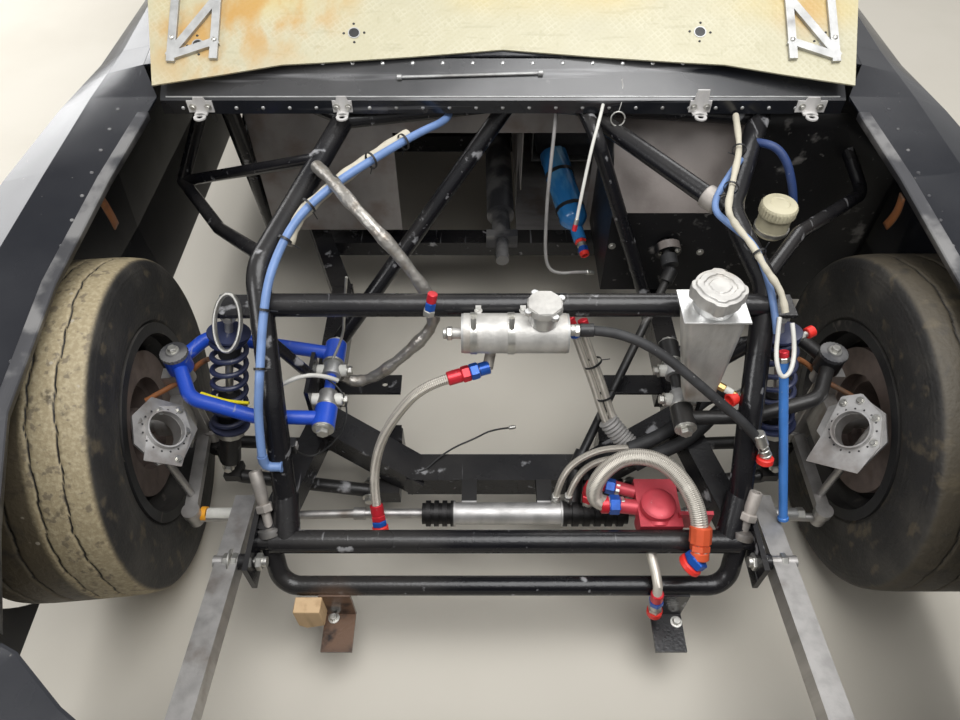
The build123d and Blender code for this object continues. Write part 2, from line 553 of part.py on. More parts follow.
# Seat: aluminium shell with side bolsters, and its soft pads
SEAT_X, SEAT_HALF = 330.0, 215.0
seat_line = [(-330, 250), (40, 215), (150, 640), (215, 900)]
seat_back = shell([(SEAT_X - SEAT_HALF, seat_line), (SEAT_X + SEAT_HALF, seat_line)],
                  lambda x, y, z: (x, y, z), -SHEET)
bolster_line = [(-320, 248), (42, 213), (152, 639), (217, 899), (120, 880), (30, 640), (-70, 400), (-310,
                350)]
bolsters = [prism(bolster_line, x, x + SHEET, "x") for x in (SEAT_X - SEAT_HALF, SEAT_X + SEAT_HALF - SHEET)]
seat_foot = [block((x, y, FLOOR_Z + TIN + SEAT_GAP), (x + 30, y + 30, top)) for x in (SEAT_X - 180,
             SEAT_X + 150)
             for y, top in ((-300, 244), (-20, 217))]
nodes["seat_shell"] = fuse([seat_back] + bolsters + seat_foot)
PAD_HALF = SEAT_HALF - SHEET - 8
cushion = prism([(-318, 249.2), (20, 217.3), (10, 262), (-310, 300)], SEAT_X - PAD_HALF, SEAT_X + PAD_HALF,
                "x")
back_pad = prism([(51.8, 262), (149.6, 640), (207.1, 870), (168, 872), (100, 650), (8, 285)],
                 SEAT_X - PAD_HALF, SEAT_X + PAD_HALF, "x")
nodes["seat_pads"] = [cushion, back_pad]

# Bare nose rails on their pivot sleeves
NOSE_RAIL = 42.0
rail = bar(fwd(522, -150, 266), fwd(522, -900, 381), NOSE_RAIL, NOSE_RAIL)
rail = rail.fuse(rod(fwd(500.3, -296, 300), fwd(548, -296, 300), 12))
nodes["nose_rails"] = [rail, flip(rail)]

# Suspension arms
SHAFT_X = 350.0
UPPER_FRONT, UPPER_REAR = fwd(SHAFT_X, -60, 434), fwd(SHAFT_X, 100, 440)
upper_cup = (KINGPIN_X, KINGPIN_Y, UPPER_BALL_Z)
upper_bits = [
    Solid.make_cylinder(BALL_CUP, 40, Plane(origin=(KINGPIN_X, KINGPIN_Y, UPPER_BALL_Z - 18))),
    Solid.make_cylinder(BALL_STUD, 42, Plane(origin=(KINGPIN_X, KINGPIN_Y, UPPER_BALL_Z - 52))),
    tube([upper_cup, fwd(606, -42, 474), fwd(480, -68, 450), UPPER_FRONT], 14, 40),
    tube([upper_cup, fwd(606, 116, 478), fwd(480, 112, 455), UPPER_REAR], 14, 40),
    rod(fwd(SHAFT_X, -84, 434), fwd(SHAFT_X, -36, 434), 22),
    rod(fwd(SHAFT_X, 76, 440), fwd(SHAFT_X, 124, 440), 22),
    rod(fwd(SHAFT_X, -60, 434), fwd(SHAFT_X, 100, 440), 11),
    rod(fwd(SHAFT_X - 28, -16, 436), fwd(380 - SEAT_GAP, -16, 436), 9),
    rod(fwd(SHAFT_X - 28, 56, 438), fwd(380 - SEAT_GAP, 56, 438), 9),
]
upper_arm = fuse(upper_bits)
nodes["upper_arm_left"] = upper_arm
nodes["upper_arm_right"] = flip(upper_arm)
lower_cup = (KINGPIN_X, KINGPIN_Y, LOWER_BALL_Z)
SPRING_LOW, SPRING_TOP = fwd(592, -38, 236), fwd(520, 68, 608)
lower_arm = fuse([
    Solid.make_cylinder(BALL_CUP + 2, 34, Plane(origin=(KINGPIN_X, KINGPIN_Y, LOWER_BALL_Z - 18))),
    Solid.make_cylinder(BALL_STUD, 52, Plane(origin=(KINGPIN_X, KINGPIN_Y, LOWER_BALL_Z))),
    tube([lower_cup, fwd(592, -42, 190), fwd(294, -58, 150)], 15, 40),
    rod(lower_cup, fwd(290, 60, 151), 14.5),
    rod(fwd(297, -58, 150), fwd(274 + SEAT_GAP, -58, 150), 18),
    rod(fwd(297, 60, 152), fwd(274 + SEAT_GAP, 60, 152), 18),
    block(fwd(574, -58, 190), fwd(610, -18, 212)),
])
nodes["lower_arms"] = [lower_arm, flip(lower_arm)]

# Coil springs over dampers, front and rear
def coilover(low, top, spring_radius, spring_from, spring_to):
    """damper body, rod and eyes, with the spring as a grooved sleeve round them"""
    a, b = Vector(*low), Vector(*top)
    run = (b - a).normalized()
    length = (b - a).length
    at = Plane(origin=tuple(a), z_dir=tuple(run))
    bits = [Solid.make_cylinder(23, length * 0.5, at),
            Solid.make_cylinder(8, length, at),
            Solid.make_cylinder(spring_radius + 3, 6, at.offset(spring_from)),
            Solid.make_cylinder(spring_radius + 3, 6, at.offset(spring_to))]
    turns = 7
    pitch = (spring_to - spring_from - 6) / turns
    for k in range(turns):
        z0 = spring_from + 6 + k * pitch
        bits.append(Solid.make_cylinder(spring_radius - 7, pitch / 2, at.offset(z0)))
        bits.append(Solid.make_cylinder(spring_radius, pitch / 2, at.offset(z0 + pitch / 2)))
    return fuse(bits)


front_spring = coilover(SPRING_LOW, SPRING_TOP, 38, 110, 335)
REAR_SPRING_LOW, REAR_SPRING_TOP = aft(606, 92, 264), aft(580, 96, 634)
front_spring = front_spring.fuse(rod(fwd(592, -58, 224), fwd(592, -18, 224), 12)).clean()
rear_spring = coilover(REAR_SPRING_LOW, REAR_SPRING_TOP, 36, 120, 310)
nodes["coilovers"] = [front_spring, flip(front_spring), rear_spring, flip(rear_spring)]

# Rack housing with bellows and pinion tower
rack_bits = [rod((-99, RACK_Y, RACK_Z), (122, RACK_Y, RACK_Z), 23)]
for x0, x1 in ((-99, -168), (122, 262)):
    turns = 6 if x1 > 0 else 4
    step = (x1 - x0) / turns
    for k in range(turns):
        rack_bits.append(rod((x0 + k * step, RACK_Y, RACK_Z), (x0 + (k + 0.55) * step, RACK_Y, RACK_Z), 27))
        rack_bits.append(rod((x0 + (k + 0.5) * step, RACK_Y, RACK_Z), (x0 + (k + 1) * step, RACK_Y, RACK_Z),
                             22))
PINION_TOP = fwd(158, -66, 246)
rack_bits.append(rod((146, RACK_Y, RACK_Z), PINION_TOP, 17))
rack_bits += [block((x - 16, RACK_Y, RACK_Z - 14),
                    (x + 16, FRONT_AXLE - 73 - SEAT_GAP, RACK_Z + 10)) for x in (-70, 90)]
rack_bore = rod((-400, RACK_Y, RACK_Z), (400, RACK_Y, RACK_Z), RACK_BORE)
nodes["rack_housing"] = fuse(rack_bits) - rack_bore

# Rear axle housing, links, driveshaft, fuel cell
AXLE_TUBE = 38.0
axle_bits = [
    rod((-665, REAR_AXLE, TYRE_RADIUS), (665, REAR_AXLE, TYRE_RADIUS), AXLE_TUBE),
    rod((-TRACK_HALF - 8, REAR_AXLE, TYRE_RADIUS), (TRACK_HALF + 8, REAR_AXLE, TYRE_RADIUS), SPINDLE),
    rod((-80, REAR_AXLE, TYRE_RADIUS), (80, REAR_AXLE, TYRE_RADIUS), 118),
    block((-95, REAR_AXLE - 60, 250), (95, REAR_AXLE + 165, 430)),
    rod((0, REAR_AXLE - 240, TYRE_RADIUS - 3), (0, REAR_AXLE, TYRE_RADIUS - 3), 44),
]
for side in (1, -1):
    low, high = sorted((side * 586, side * 626))
    axle_bits.append(block((low, REAR_AXLE + 8, 250), (high, REAR_AXLE + 114, 262)))
    axle_bits.append(block((low, REAR_AXLE + 8, 250), (high, REAR_AXLE + 20, 345)))
    low, high = sorted((side * 588, side * 600))
    axle_bits.append(block((low, REAR_AXLE - 50, 184), (high, REAR_AXLE + 8, 370)))
nodes["rear_axle"] = fuse(axle_bits)
links = []
for side in (1, -1):
    eye_y = LINK_Y + CELL_BAR / 2 + 18 + SEAT_GAP
    links.append(fuse([rod(aft(side * 620, eye_y, 176), aft(side * 620, -24, 208), 14),
                       rod(aft(side * (600 + SEAT_GAP), -24, 208), aft(side * 640, -24, 208), 18),
                       rod(aft(side * 600, eye_y, 176), aft(side * 640, eye_y, 176), 18)]))
nodes["trailing_arms"] = links
SHAFT_TUBE = 38.0
nodes["driveshaft"] = fuse([
    rod(fwd(10, 720, 306), (0, REAR_AXLE - 330, TYRE_RADIUS - 3), SHAFT_TUBE),
    rod((0, REAR_AXLE - 335, TYRE_RADIUS - 3), (0, REAR_AXLE - 240 - SEAT_GAP, TYRE_RADIUS - 3), 26),
    rod(fwd(12, 630, 304), fwd(10, 724, 306), 25),
    rod(fwd(12, 540, 302), fwd(12, 634, 304), 17),
    block(fwd(-30, 612, 284), fwd(54, 640, 324)),
])
cell = block((-310, 1700, 262), (310, 2100, 500))
straps = [block((x - 20, 1696, 257 + SEAT_GAP), (x + 20, 2104, 504)) for x in (-180, 180)]
nodes["fuel_cell"] = fuse([cell, rod((0, 1780, 499), (0, 1780, 540), 45)] + straps)

# Tanks and bottles in the bay
surge_axis_z = CROSS_Z - 8
surge_y = CROSS_Y - 62
SURGE_RADIUS = 36.0
surge = fuse([rod((-76, surge_y, surge_axis_z), (106, surge_y, surge_axis_z), SURGE_RADIUS),
              rod((64, surge_y, surge_axis_z + 20), (64, surge_y, surge_axis_z + 64), 22),
              rod((64, surge_y, surge_axis_z + 62), (64, surge_y, surge_axis_z + 76), 30),
              rod((-104, surge_y, surge_axis_z), (-70, surge_y, surge_axis_z), 10),
              rod((100, surge_y, surge_axis_z + 8), (132, surge_y, surge_axis_z + 8), 10),
              rod((-28, surge_y, surge_axis_z - 60), (-28, surge_y, surge_axis_z), 10),
              rod((-28, surge_y, surge_axis_z - 57), fwd(-33, -41, 565), 10),
              rod(fwd(-30, -39.4, 566), fwd(-104, -62, 560), 11.5)]
             + [block((x - 5, surge_y, surge_axis_z - 30),
                      (x + 5, CROSS_Y - CROSS_TUBE - SEAT_GAP, surge_axis_z + 30))
                for x in (-50, 30)])
nodes["surge_tank"] = surge
TANK_X, TANK_Y = 352.0, CROSS_Y - 62.0
tank_low = Plane(origin=(TANK_X + 20, TANK_Y - 14, 478)) * RectangleRounded(56, 46, 8)
tank_high = Plane(origin=(TANK_X, TANK_Y, 700)) * RectangleRounded(106, 72, 12)
catch = loft([tank_low.face(), tank_high.face()]).solid()
catch = fuse([catch, rod((TANK_X, TANK_Y, 699), (TANK_X, TANK_Y, 726), 33),
              rod((TANK_X, TANK_Y, 724), (TANK_X, TANK_Y, 746), 42),
              block((TANK_X - 30, TANK_Y + 30, 650), (TANK_X + 30, CROSS_Y - CROSS_TUBE - SEAT_GAP, 680))])
nodes["catch_tank"] = catch
filter_bits = [block(fwd(262, -255 + MAIN_TUBE + SEAT_GAP, 286), fwd(345, -128, 318)),
               rod(fwd(300, -192, 316), fwd(300, -192, 336), 30),
               rod(fwd(300, -192, 286), fwd(300, -192, 246), 33),
               rod(fwd(264, -150, 304), fwd(214, -134, 304), 13),
               rod(fwd(264, -184, 304), fwd(214, -178, 304), 15),
               block(fwd(338, -214, 276), fwd(404, -206, 330))]
nodes["filter_mount"] = fuse(filter_bits)
bottle = fuse([rod(fwd(150, 800, 450), fwd(204, 575, 372), 36),
               rod(fwd(203, 580, 374), fwd(220, 512, 350), 16),
               block(fwd(215, 565, 360), fwd(BOX["x0"] - SEAT_GAP, 595, 384))])
reservoir = fuse([rod(fwd(560, 300, 600), fwd(560, 300, 652), 33),
                  rod(fwd(560, 300, 650), fwd(560, 300, 674), 37),
                  block(fwd(BOX["x1"] + SEAT_GAP, 318, 604), fwd(BOX["x1"] + 4, 520, 634)),
                  block(fwd(BOX["x1"] + SEAT_GAP, 290, 600), fwd(575, 322, 606))])
nodes["bay_bottles"] = [bottle, reservoir]

# Wheels: tyre, rim, hub with rotor, all about the X axis with +x outboard
tyre_half = [(TREAD_HALF - 40, TYRE_RADIUS), (TREAD_HALF - 10, TYRE_RADIUS - 4), (TREAD_HALF + 4,
             TYRE_RADIUS - 18),
             (BULGE_HALF - 4, TYRE_RADIUS - 45), (BULGE_HALF, TYRE_RADIUS - 72), (BULGE_HALF - 3,
                                                                                  RIM_FLANGE + 28),
             (RIM_HALF - 2, RIM_FLANGE + 6), (RIM_HALF - 6.5, RIM_FLANGE + 3), (RIM_HALF - 6.5, BEAD_RADIUS)]
tyre_inner = [(RIM_HALF - 22, BEAD_RADIUS), (RIM_HALF - 18, RIM_FLANGE + 10), (BULGE_HALF - 16,
              RIM_FLANGE + 30),
              (BULGE_HALF - 13, TYRE_RADIUS - 72), (TREAD_HALF - 12, TYRE_RADIUS - 26), (TREAD_HALF - 40,
                                                                                         TYRE_RADIUS - 16)]


def tyre():
    """hollow tyre carcass"""
    outer = [(-x, r) for x, r in tyre_half[::-1]] + tyre_half
    inner = tyre_inner + [(-x, r) for x, r in tyre_inner[::-1]]
    return spin_x(outer + inner)


def rim():
    """steel wheel: barrel, dished disc with round vents and five lug holes"""
    outer = [(RIM_HALF, RIM_FLANGE), (RIM_HALF - 6, RIM_FLANGE), (RIM_HALF - 6, RIM_SEAT), (RIM_HALF - 30,
             RIM_SEAT - 2),
             (70, RIM_WELL)]
    inner = [(74, RIM_WELL - RIM_WALL), (RIM_HALF - 27, RIM_SEAT - 2 - RIM_WALL), (RIM_HALF,
             RIM_SEAT - RIM_WALL)]
    barrel = spin_x([(-x, r) for x, r in outer] + outer[::-1] + inner[::-1] + [(-x, r) for x, r in inner])
    disc = spin_x([(DISC_OFFSET, 36), (DISC_OFFSET + RIM_WALL, 36), (DISC_OFFSET + RIM_WALL, 84),
                   (DISC_OFFSET + 26, 104), (DISC_OFFSET + 20, RIM_WELL - 2), (DISC_OFFSET + 14,
                                                                               RIM_WELL - 2),
                   (DISC_OFFSET + 19, 104), (DISC_OFFSET, 88)])
    for k in range(8):
        a = math.radians(45 * k)
        disc -= rod((0, 134 * math.cos(a), 134 * math.sin(a)), (60, 134 * math.cos(a), 134 * math.sin(a)), 18)
    for k in range(5):
        a = math.radians(72 * k + 90)
        y, z = LUG_CIRCLE * math.cos(a), LUG_CIRCLE * math.sin(a)
        disc -= rod((0, y, z), (60, y, z), 8)
    return barrel.fuse(disc).clean()


def hub():
    """hub and vented rotor with five studs and nuts, bored for its spindle"""
    face = ROTOR_FACE
    bits = [spin_x([(face - ROTOR_THICK, ROTOR_INNER), (face - ROTOR_THICK, ROTOR_RADIUS),
                    (face - 20, ROTOR_RADIUS),
                    (face - 20, ROTOR_INNER + 12), (face - 12, ROTOR_INNER + 12), (face - 12, ROTOR_RADIUS),
                    (face, ROTOR_RADIUS), (face, ROTOR_INNER - 8), (DISC_OFFSET - 8, 74), (DISC_OFFSET, 74),
                    (DISC_OFFSET, 28), (DISC_OFFSET + 30, 28), (DISC_OFFSET + 30, SPINDLE + SPINDLE_FIT),
                    (face - 10, SPINDLE + SPINDLE_FIT), (face - 10, 33), (DISC_OFFSET - 10, 33),
                    (DISC_OFFSET - 10, 68), (face - 7, ROTOR_INNER - 16), (face - 7, ROTOR_INNER)])]
    for k in range(5):
        a = math.radians(72 * k + 90)
        y, z = LUG_CIRCLE * math.cos(a), LUG_CIRCLE * math.sin(a)
        bits.append(rod((DISC_OFFSET - 4, y, z), (DISC_OFFSET + 42, y, z), 6))
        bits.append(rod((DISC_OFFSET + RIM_WALL + SEAT_GAP, y, z), (DISC_OFFSET + 26, y, z), 11))
    for k in range(18):
        a = math.radians(20 * k)
        ca, sa = math.cos(a), math.sin(a)
        r0, r1 = ROTOR_INNER + 10, ROTOR_RADIUS - 3
        bits.append(rod((face - 16, r0 * ca, r0 * sa), (face - 16, r1 * ca, r1 * sa), 5))
    return fuse(bits)


def outboard(shape, side, axle_y):
    """wheel shape moved to its corner; side is +1 on the driver's side"""
    placed = shape.moved(Location((TRACK_HALF, axle_y, TYRE_RADIUS)))
    return placed if side > 0 else flip(placed)


def toed(shape):
    """the passenger-side front corner stands turned in by the rest toe"""
    return shape.rotate(Axis((-KINGPIN_X, KINGPIN_Y, 0), (0, 0, 1)), REST_TOE)


the_tyre, the_rim, the_hub = tyre(), rim(), hub()
for label, side, axle_y in (("front_left", 1, FRONT_AXLE), ("front_right", -1, FRONT_AXLE),
                            ("rear_left", 1, REAR_AXLE), ("rear_right", -1, REAR_AXLE)):
    parts = [("tyre", the_tyre), ("rim", the_rim), ("hub", the_hub)]
    if axle_y == REAR_AXLE:
        parts = [("tyre", the_tyre), ("rim", fuse([the_rim, the_hub]))]
    for part_name, shape in parts:
        placed = outboard(shape, side, axle_y)
        nodes[f"{part_name}_{label}"] = toed(placed) if label == "front_right" else placed

# Knuckle: upright, spindle, steering arm and brake duct plate, drawn on the driver's side
arm_end = (KINGPIN_X + 15, KINGPIN_Y - ARM_REACH, ARM_Z)
DUCT = Vector(*fwd(662, -104, 452))
duct_plane = Plane(origin=tuple(DUCT), x_dir=(0, 1, 0), z_dir=(-0.72, -0.10, 0.68))
DUCT_BORE, DUCT_WALL = 34.0, 5.0
duct_outline = [(-70, 6), (-46, -46), (6, -64), (58, -40), (66, 24), (30, 62), (-40, 50)]
duct_plate = Solid.extrude(Face(Wire.make_polygon(
    [duct_plane.from_local_coords(Vector(a, b, 0)) for a, b in duct_outline], close=True)),
    duct_plane.z_dir * DUCT_WALL)
duct_plate = duct_plate.fuse(Solid.make_cylinder(DUCT_BORE + 3, 30, duct_plane.offset(-30 + DUCT_WALL)))
duct_plate -= Solid.make_cylinder(DUCT_BORE, 60, duct_plane.offset(-40))
stud_bore = rod((KINGPIN_X, KINGPIN_Y, 150), (KINGPIN_X, KINGPIN_Y, 520), BALL_STUD + BALL_FIT)
knuckle = fuse([
    Solid.make_cylinder(20, 30, Plane(origin=(KINGPIN_X, KINGPIN_Y, 426))),
    Solid.make_cylinder(20, 32, Plane(origin=(KINGPIN_X, KINGPIN_Y, 218))),
    bar((KINGPIN_X + 22, KINGPIN_Y, 228), (KINGPIN_X + 22, KINGPIN_Y, 448), 40, 26),
    block((KINGPIN_X + 12, FRONT_AXLE - 40, 300), (KINGPIN_X + 40, KINGPIN_Y + 8, 392)),
    rod((KINGPIN_X + 14, FRONT_AXLE, TYRE_RADIUS), (TRACK_HALF + ROTOR_FACE - 52, FRONT_AXLE, TYRE_RADIUS),
        30),
    rod((KINGPIN_X + 14, FRONT_AXLE, TYRE_RADIUS), (TRACK_HALF + DISC_OFFSET + 24, FRONT_AXLE, TYRE_RADIUS),
        SPINDLE),
    bar((KINGPIN_X + 16, KINGPIN_Y, ARM_Z), (arm_end[0], arm_end[1], ARM_Z), 26, 18),
    rod((arm_end[0], arm_end[1], ARM_Z - 9), (arm_end[0], arm_end[1], ARM_Z + 9), 18),
    rod(fwd(668, -36, 345), tuple(duct_plane.from_local_coords(Vector(50, 0, 2))), 8),
    rod(fwd(668, -120, ARM_Z), tuple(duct_plane.from_local_coords(Vector(2, -52, 2))), 8),
    duct_plate,
])
knuckle = knuckle - stud_bore
nodes["knuckle_left"] = knuckle
nodes["knuckle_right"] = toed(flip(knuckle))

# Rack bar with both tie rods; each rod end stops under its steering arm
turn = math.radians(REST_TOE)
rx, ry = -arm_end[0] + KINGPIN_X, arm_end[1] - KINGPIN_Y
tie_right = (-KINGPIN_X + rx * math.cos(turn) - ry * math.sin(turn),
             KINGPIN_Y + rx * math.sin(turn) + ry * math.cos(turn), TIE_Z)
tie_left = (arm_end[0], arm_end[1], TIE_Z)
rack_ends = ((-300, RACK_Y, RACK_Z), (395, RACK_Y, RACK_Z))
rack_bar = [rod(rack_ends[0], rack_ends[1], TIE_ROD)]
for start, end in ((rack_ends[0], tie_right), (rack_ends[1], tie_left)):
    rack_bar += [rod((start[0] - 12, start[1], start[2]), (start[0] + 12, start[1], start[2]), 13),
                 rod(start, end, TIE_ROD - 1),
                 rod(end[:2] + (TIE_Z - 14,), end[:2] + (ARM_Z - 9 - 0.5,), 15)]
nodes["rack_bar"] = fuse(rack_bar)

# Steering wheel with its column, and the lower shaft
wheel_plane = Plane(origin=tuple(column_top), x_dir=(1, 0, 0), z_dir=tuple(column_dir))
ring = Solid.make_torus(WHEEL_RIM, 13, wheel_plane)
COLUMN_END = 31.0
wheel_bits = [ring, Solid.make_cylinder(34, 14, wheel_plane),
              rod(tuple(column_top), tuple(column_low + column_dir * COLUMN_END), COLUMN),
              Solid.make_cylinder(19, 26, Plane(origin=tuple(column_low + column_dir * (COLUMN_END - 26)),
                                                z_dir=tuple(column_dir)))]
for angle in (0, 180, 270):
    a = math.radians(angle)
    tip = wheel_plane.from_local_coords(Vector(WHEEL_RIM * math.cos(a), WHEEL_RIM * math.sin(a), 4))
    root = wheel_plane.from_local_coords(Vector(0, 0, 7))
    wheel_bits.append(rod(tuple(root), tuple(tip), 6))
nodes["steering_wheel"] = fuse(wheel_bits)
shaft_top = column_low + column_dir * (COLUMN_END + YOKE_GAP)
pinion_dir = (Vector(*PINION_TOP) - Vector(146, RACK_Y, RACK_Z)).normalized()
shaft_low = Vector(*PINION_TOP) + pinion_dir * YOKE_GAP
shaft_dir = (shaft_low - shaft_top).normalized()
nodes["steering_shaft"] = fuse([
    rod(tuple(shaft_top), tuple(shaft_low), COLUMN),
    rod(tuple(shaft_top), tuple(shaft_top + shaft_dir * 34), 16),
    rod(tuple(shaft_low - shaft_dir * 34), tuple(shaft_low), 16),
    Solid.make_sphere(11, Plane(origin=tuple(shaft_top))),
    Solid.make_sphere(11, Plane(origin=tuple(shaft_low)))])

# Free hoses: straight runs joined by the largest arcs their runs allow
HOSES = {
    "braided_hose": (9.5, [(-104.3, -62.1, 560), (-150, -76, 556), (-198, -92, 500), (-236, -106, 430),
                           (-256, -128, 358), (-258, -160, 296), (-252, -186, 262)]),
    "filter_hose": (16.0, [(213.7, -178, 304), (184, -174.5, 304), (174, -160, 342), (200, -136, 376),
                           (240, -122, 396),
                           (292, -132, 402), (330, -165, 398), (354, -212, 386), (362, -258, 364), (360, -298,
                                                                                                    326)]),
    "vent_hose": (9.0, [(132.4, -16, 640), (176, -16, 640), (236, -34, 632), (286, -58, 612), (334, -84, 582),
                        (382, -106, 548), (428, -124, 514), (470, -144, 474), (484, -154, 446)]),
    "blue_hose": (8.0, [(-113.52, 507.7, 747.04), (-115.5, 478.7, 751), (-172, 409, 765), (-242, 332, 765),
                        (-321, 253, 757), (-380.5, 188, 736), (-410, 129, 712), (-425, 58, 692), (-433.4, 4.4,
                                                                                                  650),
                        (-436.4, -40.7, 615), (-437.9, -92.2, 580), (-449.2, -121.7, 515), (-448.4, -160,
                                                                                            455)]),
}


def hose(points, radius):
    """hose tube whose arcs are 0.45 of the shorter run over the tangent of half the turn"""
    path_points = [Vector(*fwd(*p)) for p in points]
    radii = []
    for a, b, c in zip(path_points, path_points[1:], path_points[2:]):
        half_turn = math.radians((b - a).get_angle(c - b)) / 2
        radii.append(0.45 * min((b - a).length, (c - b).length) / math.tan(half_turn))
    path = FilletPolyline(*path_points, radius=radii)
    section = Plane(origin=path @ 0, z_dir=path % 0) * Circle(radius)
    return sweep(section, path=path).solid()


for name, (radius, points) in HOSES.items():
    nodes[name] = hose(points, radius)

for name, shape in nodes.items():
    pieces = shape if isinstance(shape, list) else [shape]
    solids = [s for p in pieces for s in p.solids()]
    body = solids[0] if len(solids) == 1 else Compound(children=solids)
    body.label = name
    export_step(body, f"parts/{name}.step")
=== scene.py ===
import bmesh
import bpy
import math
import numpy as np
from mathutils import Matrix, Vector
from mathutils.bvhtree import BVHTree


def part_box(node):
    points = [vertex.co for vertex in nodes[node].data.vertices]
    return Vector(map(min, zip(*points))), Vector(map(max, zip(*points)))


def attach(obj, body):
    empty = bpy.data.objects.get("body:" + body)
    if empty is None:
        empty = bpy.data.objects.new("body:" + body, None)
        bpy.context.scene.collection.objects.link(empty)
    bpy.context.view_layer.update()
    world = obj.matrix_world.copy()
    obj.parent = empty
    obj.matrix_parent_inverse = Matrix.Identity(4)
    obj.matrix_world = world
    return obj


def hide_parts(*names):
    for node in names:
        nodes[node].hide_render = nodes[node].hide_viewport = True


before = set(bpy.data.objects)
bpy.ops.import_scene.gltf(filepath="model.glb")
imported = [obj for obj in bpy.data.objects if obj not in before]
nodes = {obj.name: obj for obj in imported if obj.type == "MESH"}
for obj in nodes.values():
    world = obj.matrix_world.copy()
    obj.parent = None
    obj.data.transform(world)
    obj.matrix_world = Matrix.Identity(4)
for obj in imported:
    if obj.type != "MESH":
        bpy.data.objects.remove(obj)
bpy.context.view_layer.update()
TURN = 2 * math.pi
X, Y, Z, DOWN = (1, 0, 0), (0, 1, 0), (0, 0, 1), (0, 0, -1)
SIDES = ((1, "left"), (-1, "right"))
FRONT_AXLE, REAR_AXLE = -1.395, 1.272
TRACK_HALF, AXLE_HEIGHT = 0.838, 0.345
HOOD_LEAN = math.radians(30.05)
RIVET_SUNK = 0.0003

# The right front wheel toes in about its kingpin
TOE = math.radians(5.5)
TOE_TURN = np.array([[math.cos(TOE), math.sin(TOE), 0], [-math.sin(TOE), math.cos(TOE), 0], [0, 0, 1]])
KINGPIN = np.array([-0.650, FRONT_AXLE + 0.045, 0])

# Camera at the photograph's place: above the nose, looking back and down into the bay
CENTRE_X, CENTRE_Y, FOCAL = 480, 360, 720
SIN_TILT, COS_TILT = 0.6428, 0.7660
camera = bpy.data.objects.new("camera", bpy.data.cameras.new("camera"))
bpy.context.collection.objects.link(camera)
camera.data.sensor_width, camera.data.lens = 36, 27
camera.location = (-0.047, -2.272, 1.584)
camera.rotation_euler = (math.radians(40), 0, 0)
bpy.context.scene.camera = camera
bpy.context.scene.view_settings.view_transform = "Standard"


def fwd(*points):
    """millimetre points whose y is measured from the front axle"""
    return np.array(points, float) / 1000 + (0, FRONT_AXLE, 0)


def front(x, y, z):
    """one millimetre point whose y is measured from the front axle"""
    return fwd((x, y, z))[0]


def aft(*points):
    """millimetre points whose y is measured from the rear axle"""
    return np.array(points, float) / 1000 + (0, REAR_AXLE, 0)


def unit(v):
    """vectors over their own length"""
    v = np.asarray(v, float)
    return v / np.linalg.norm(v, axis=-1, keepdims=True)


def toed(place):
    """a place on the right front wheel or knuckle, turned in about the kingpin"""
    return (place - KINGPIN) @ TOE_TURN + KINGPIN


def hub(side, axle):
    """centre of a wheel that runs straight"""
    return np.array([side * TRACK_HALF, axle, AXLE_HEIGHT])


STRAIGHT = np.eye(3)
WHEELS = (("front_left", 1, hub(1, FRONT_AXLE), STRAIGHT),
    ("front_right", -1, toed(hub(-1, FRONT_AXLE)), TOE_TURN),
    ("rear_left", 1, hub(1, REAR_AXLE), STRAIGHT), ("rear_right", -1, hub(-1, REAR_AXLE), STRAIGHT))


# Finishes


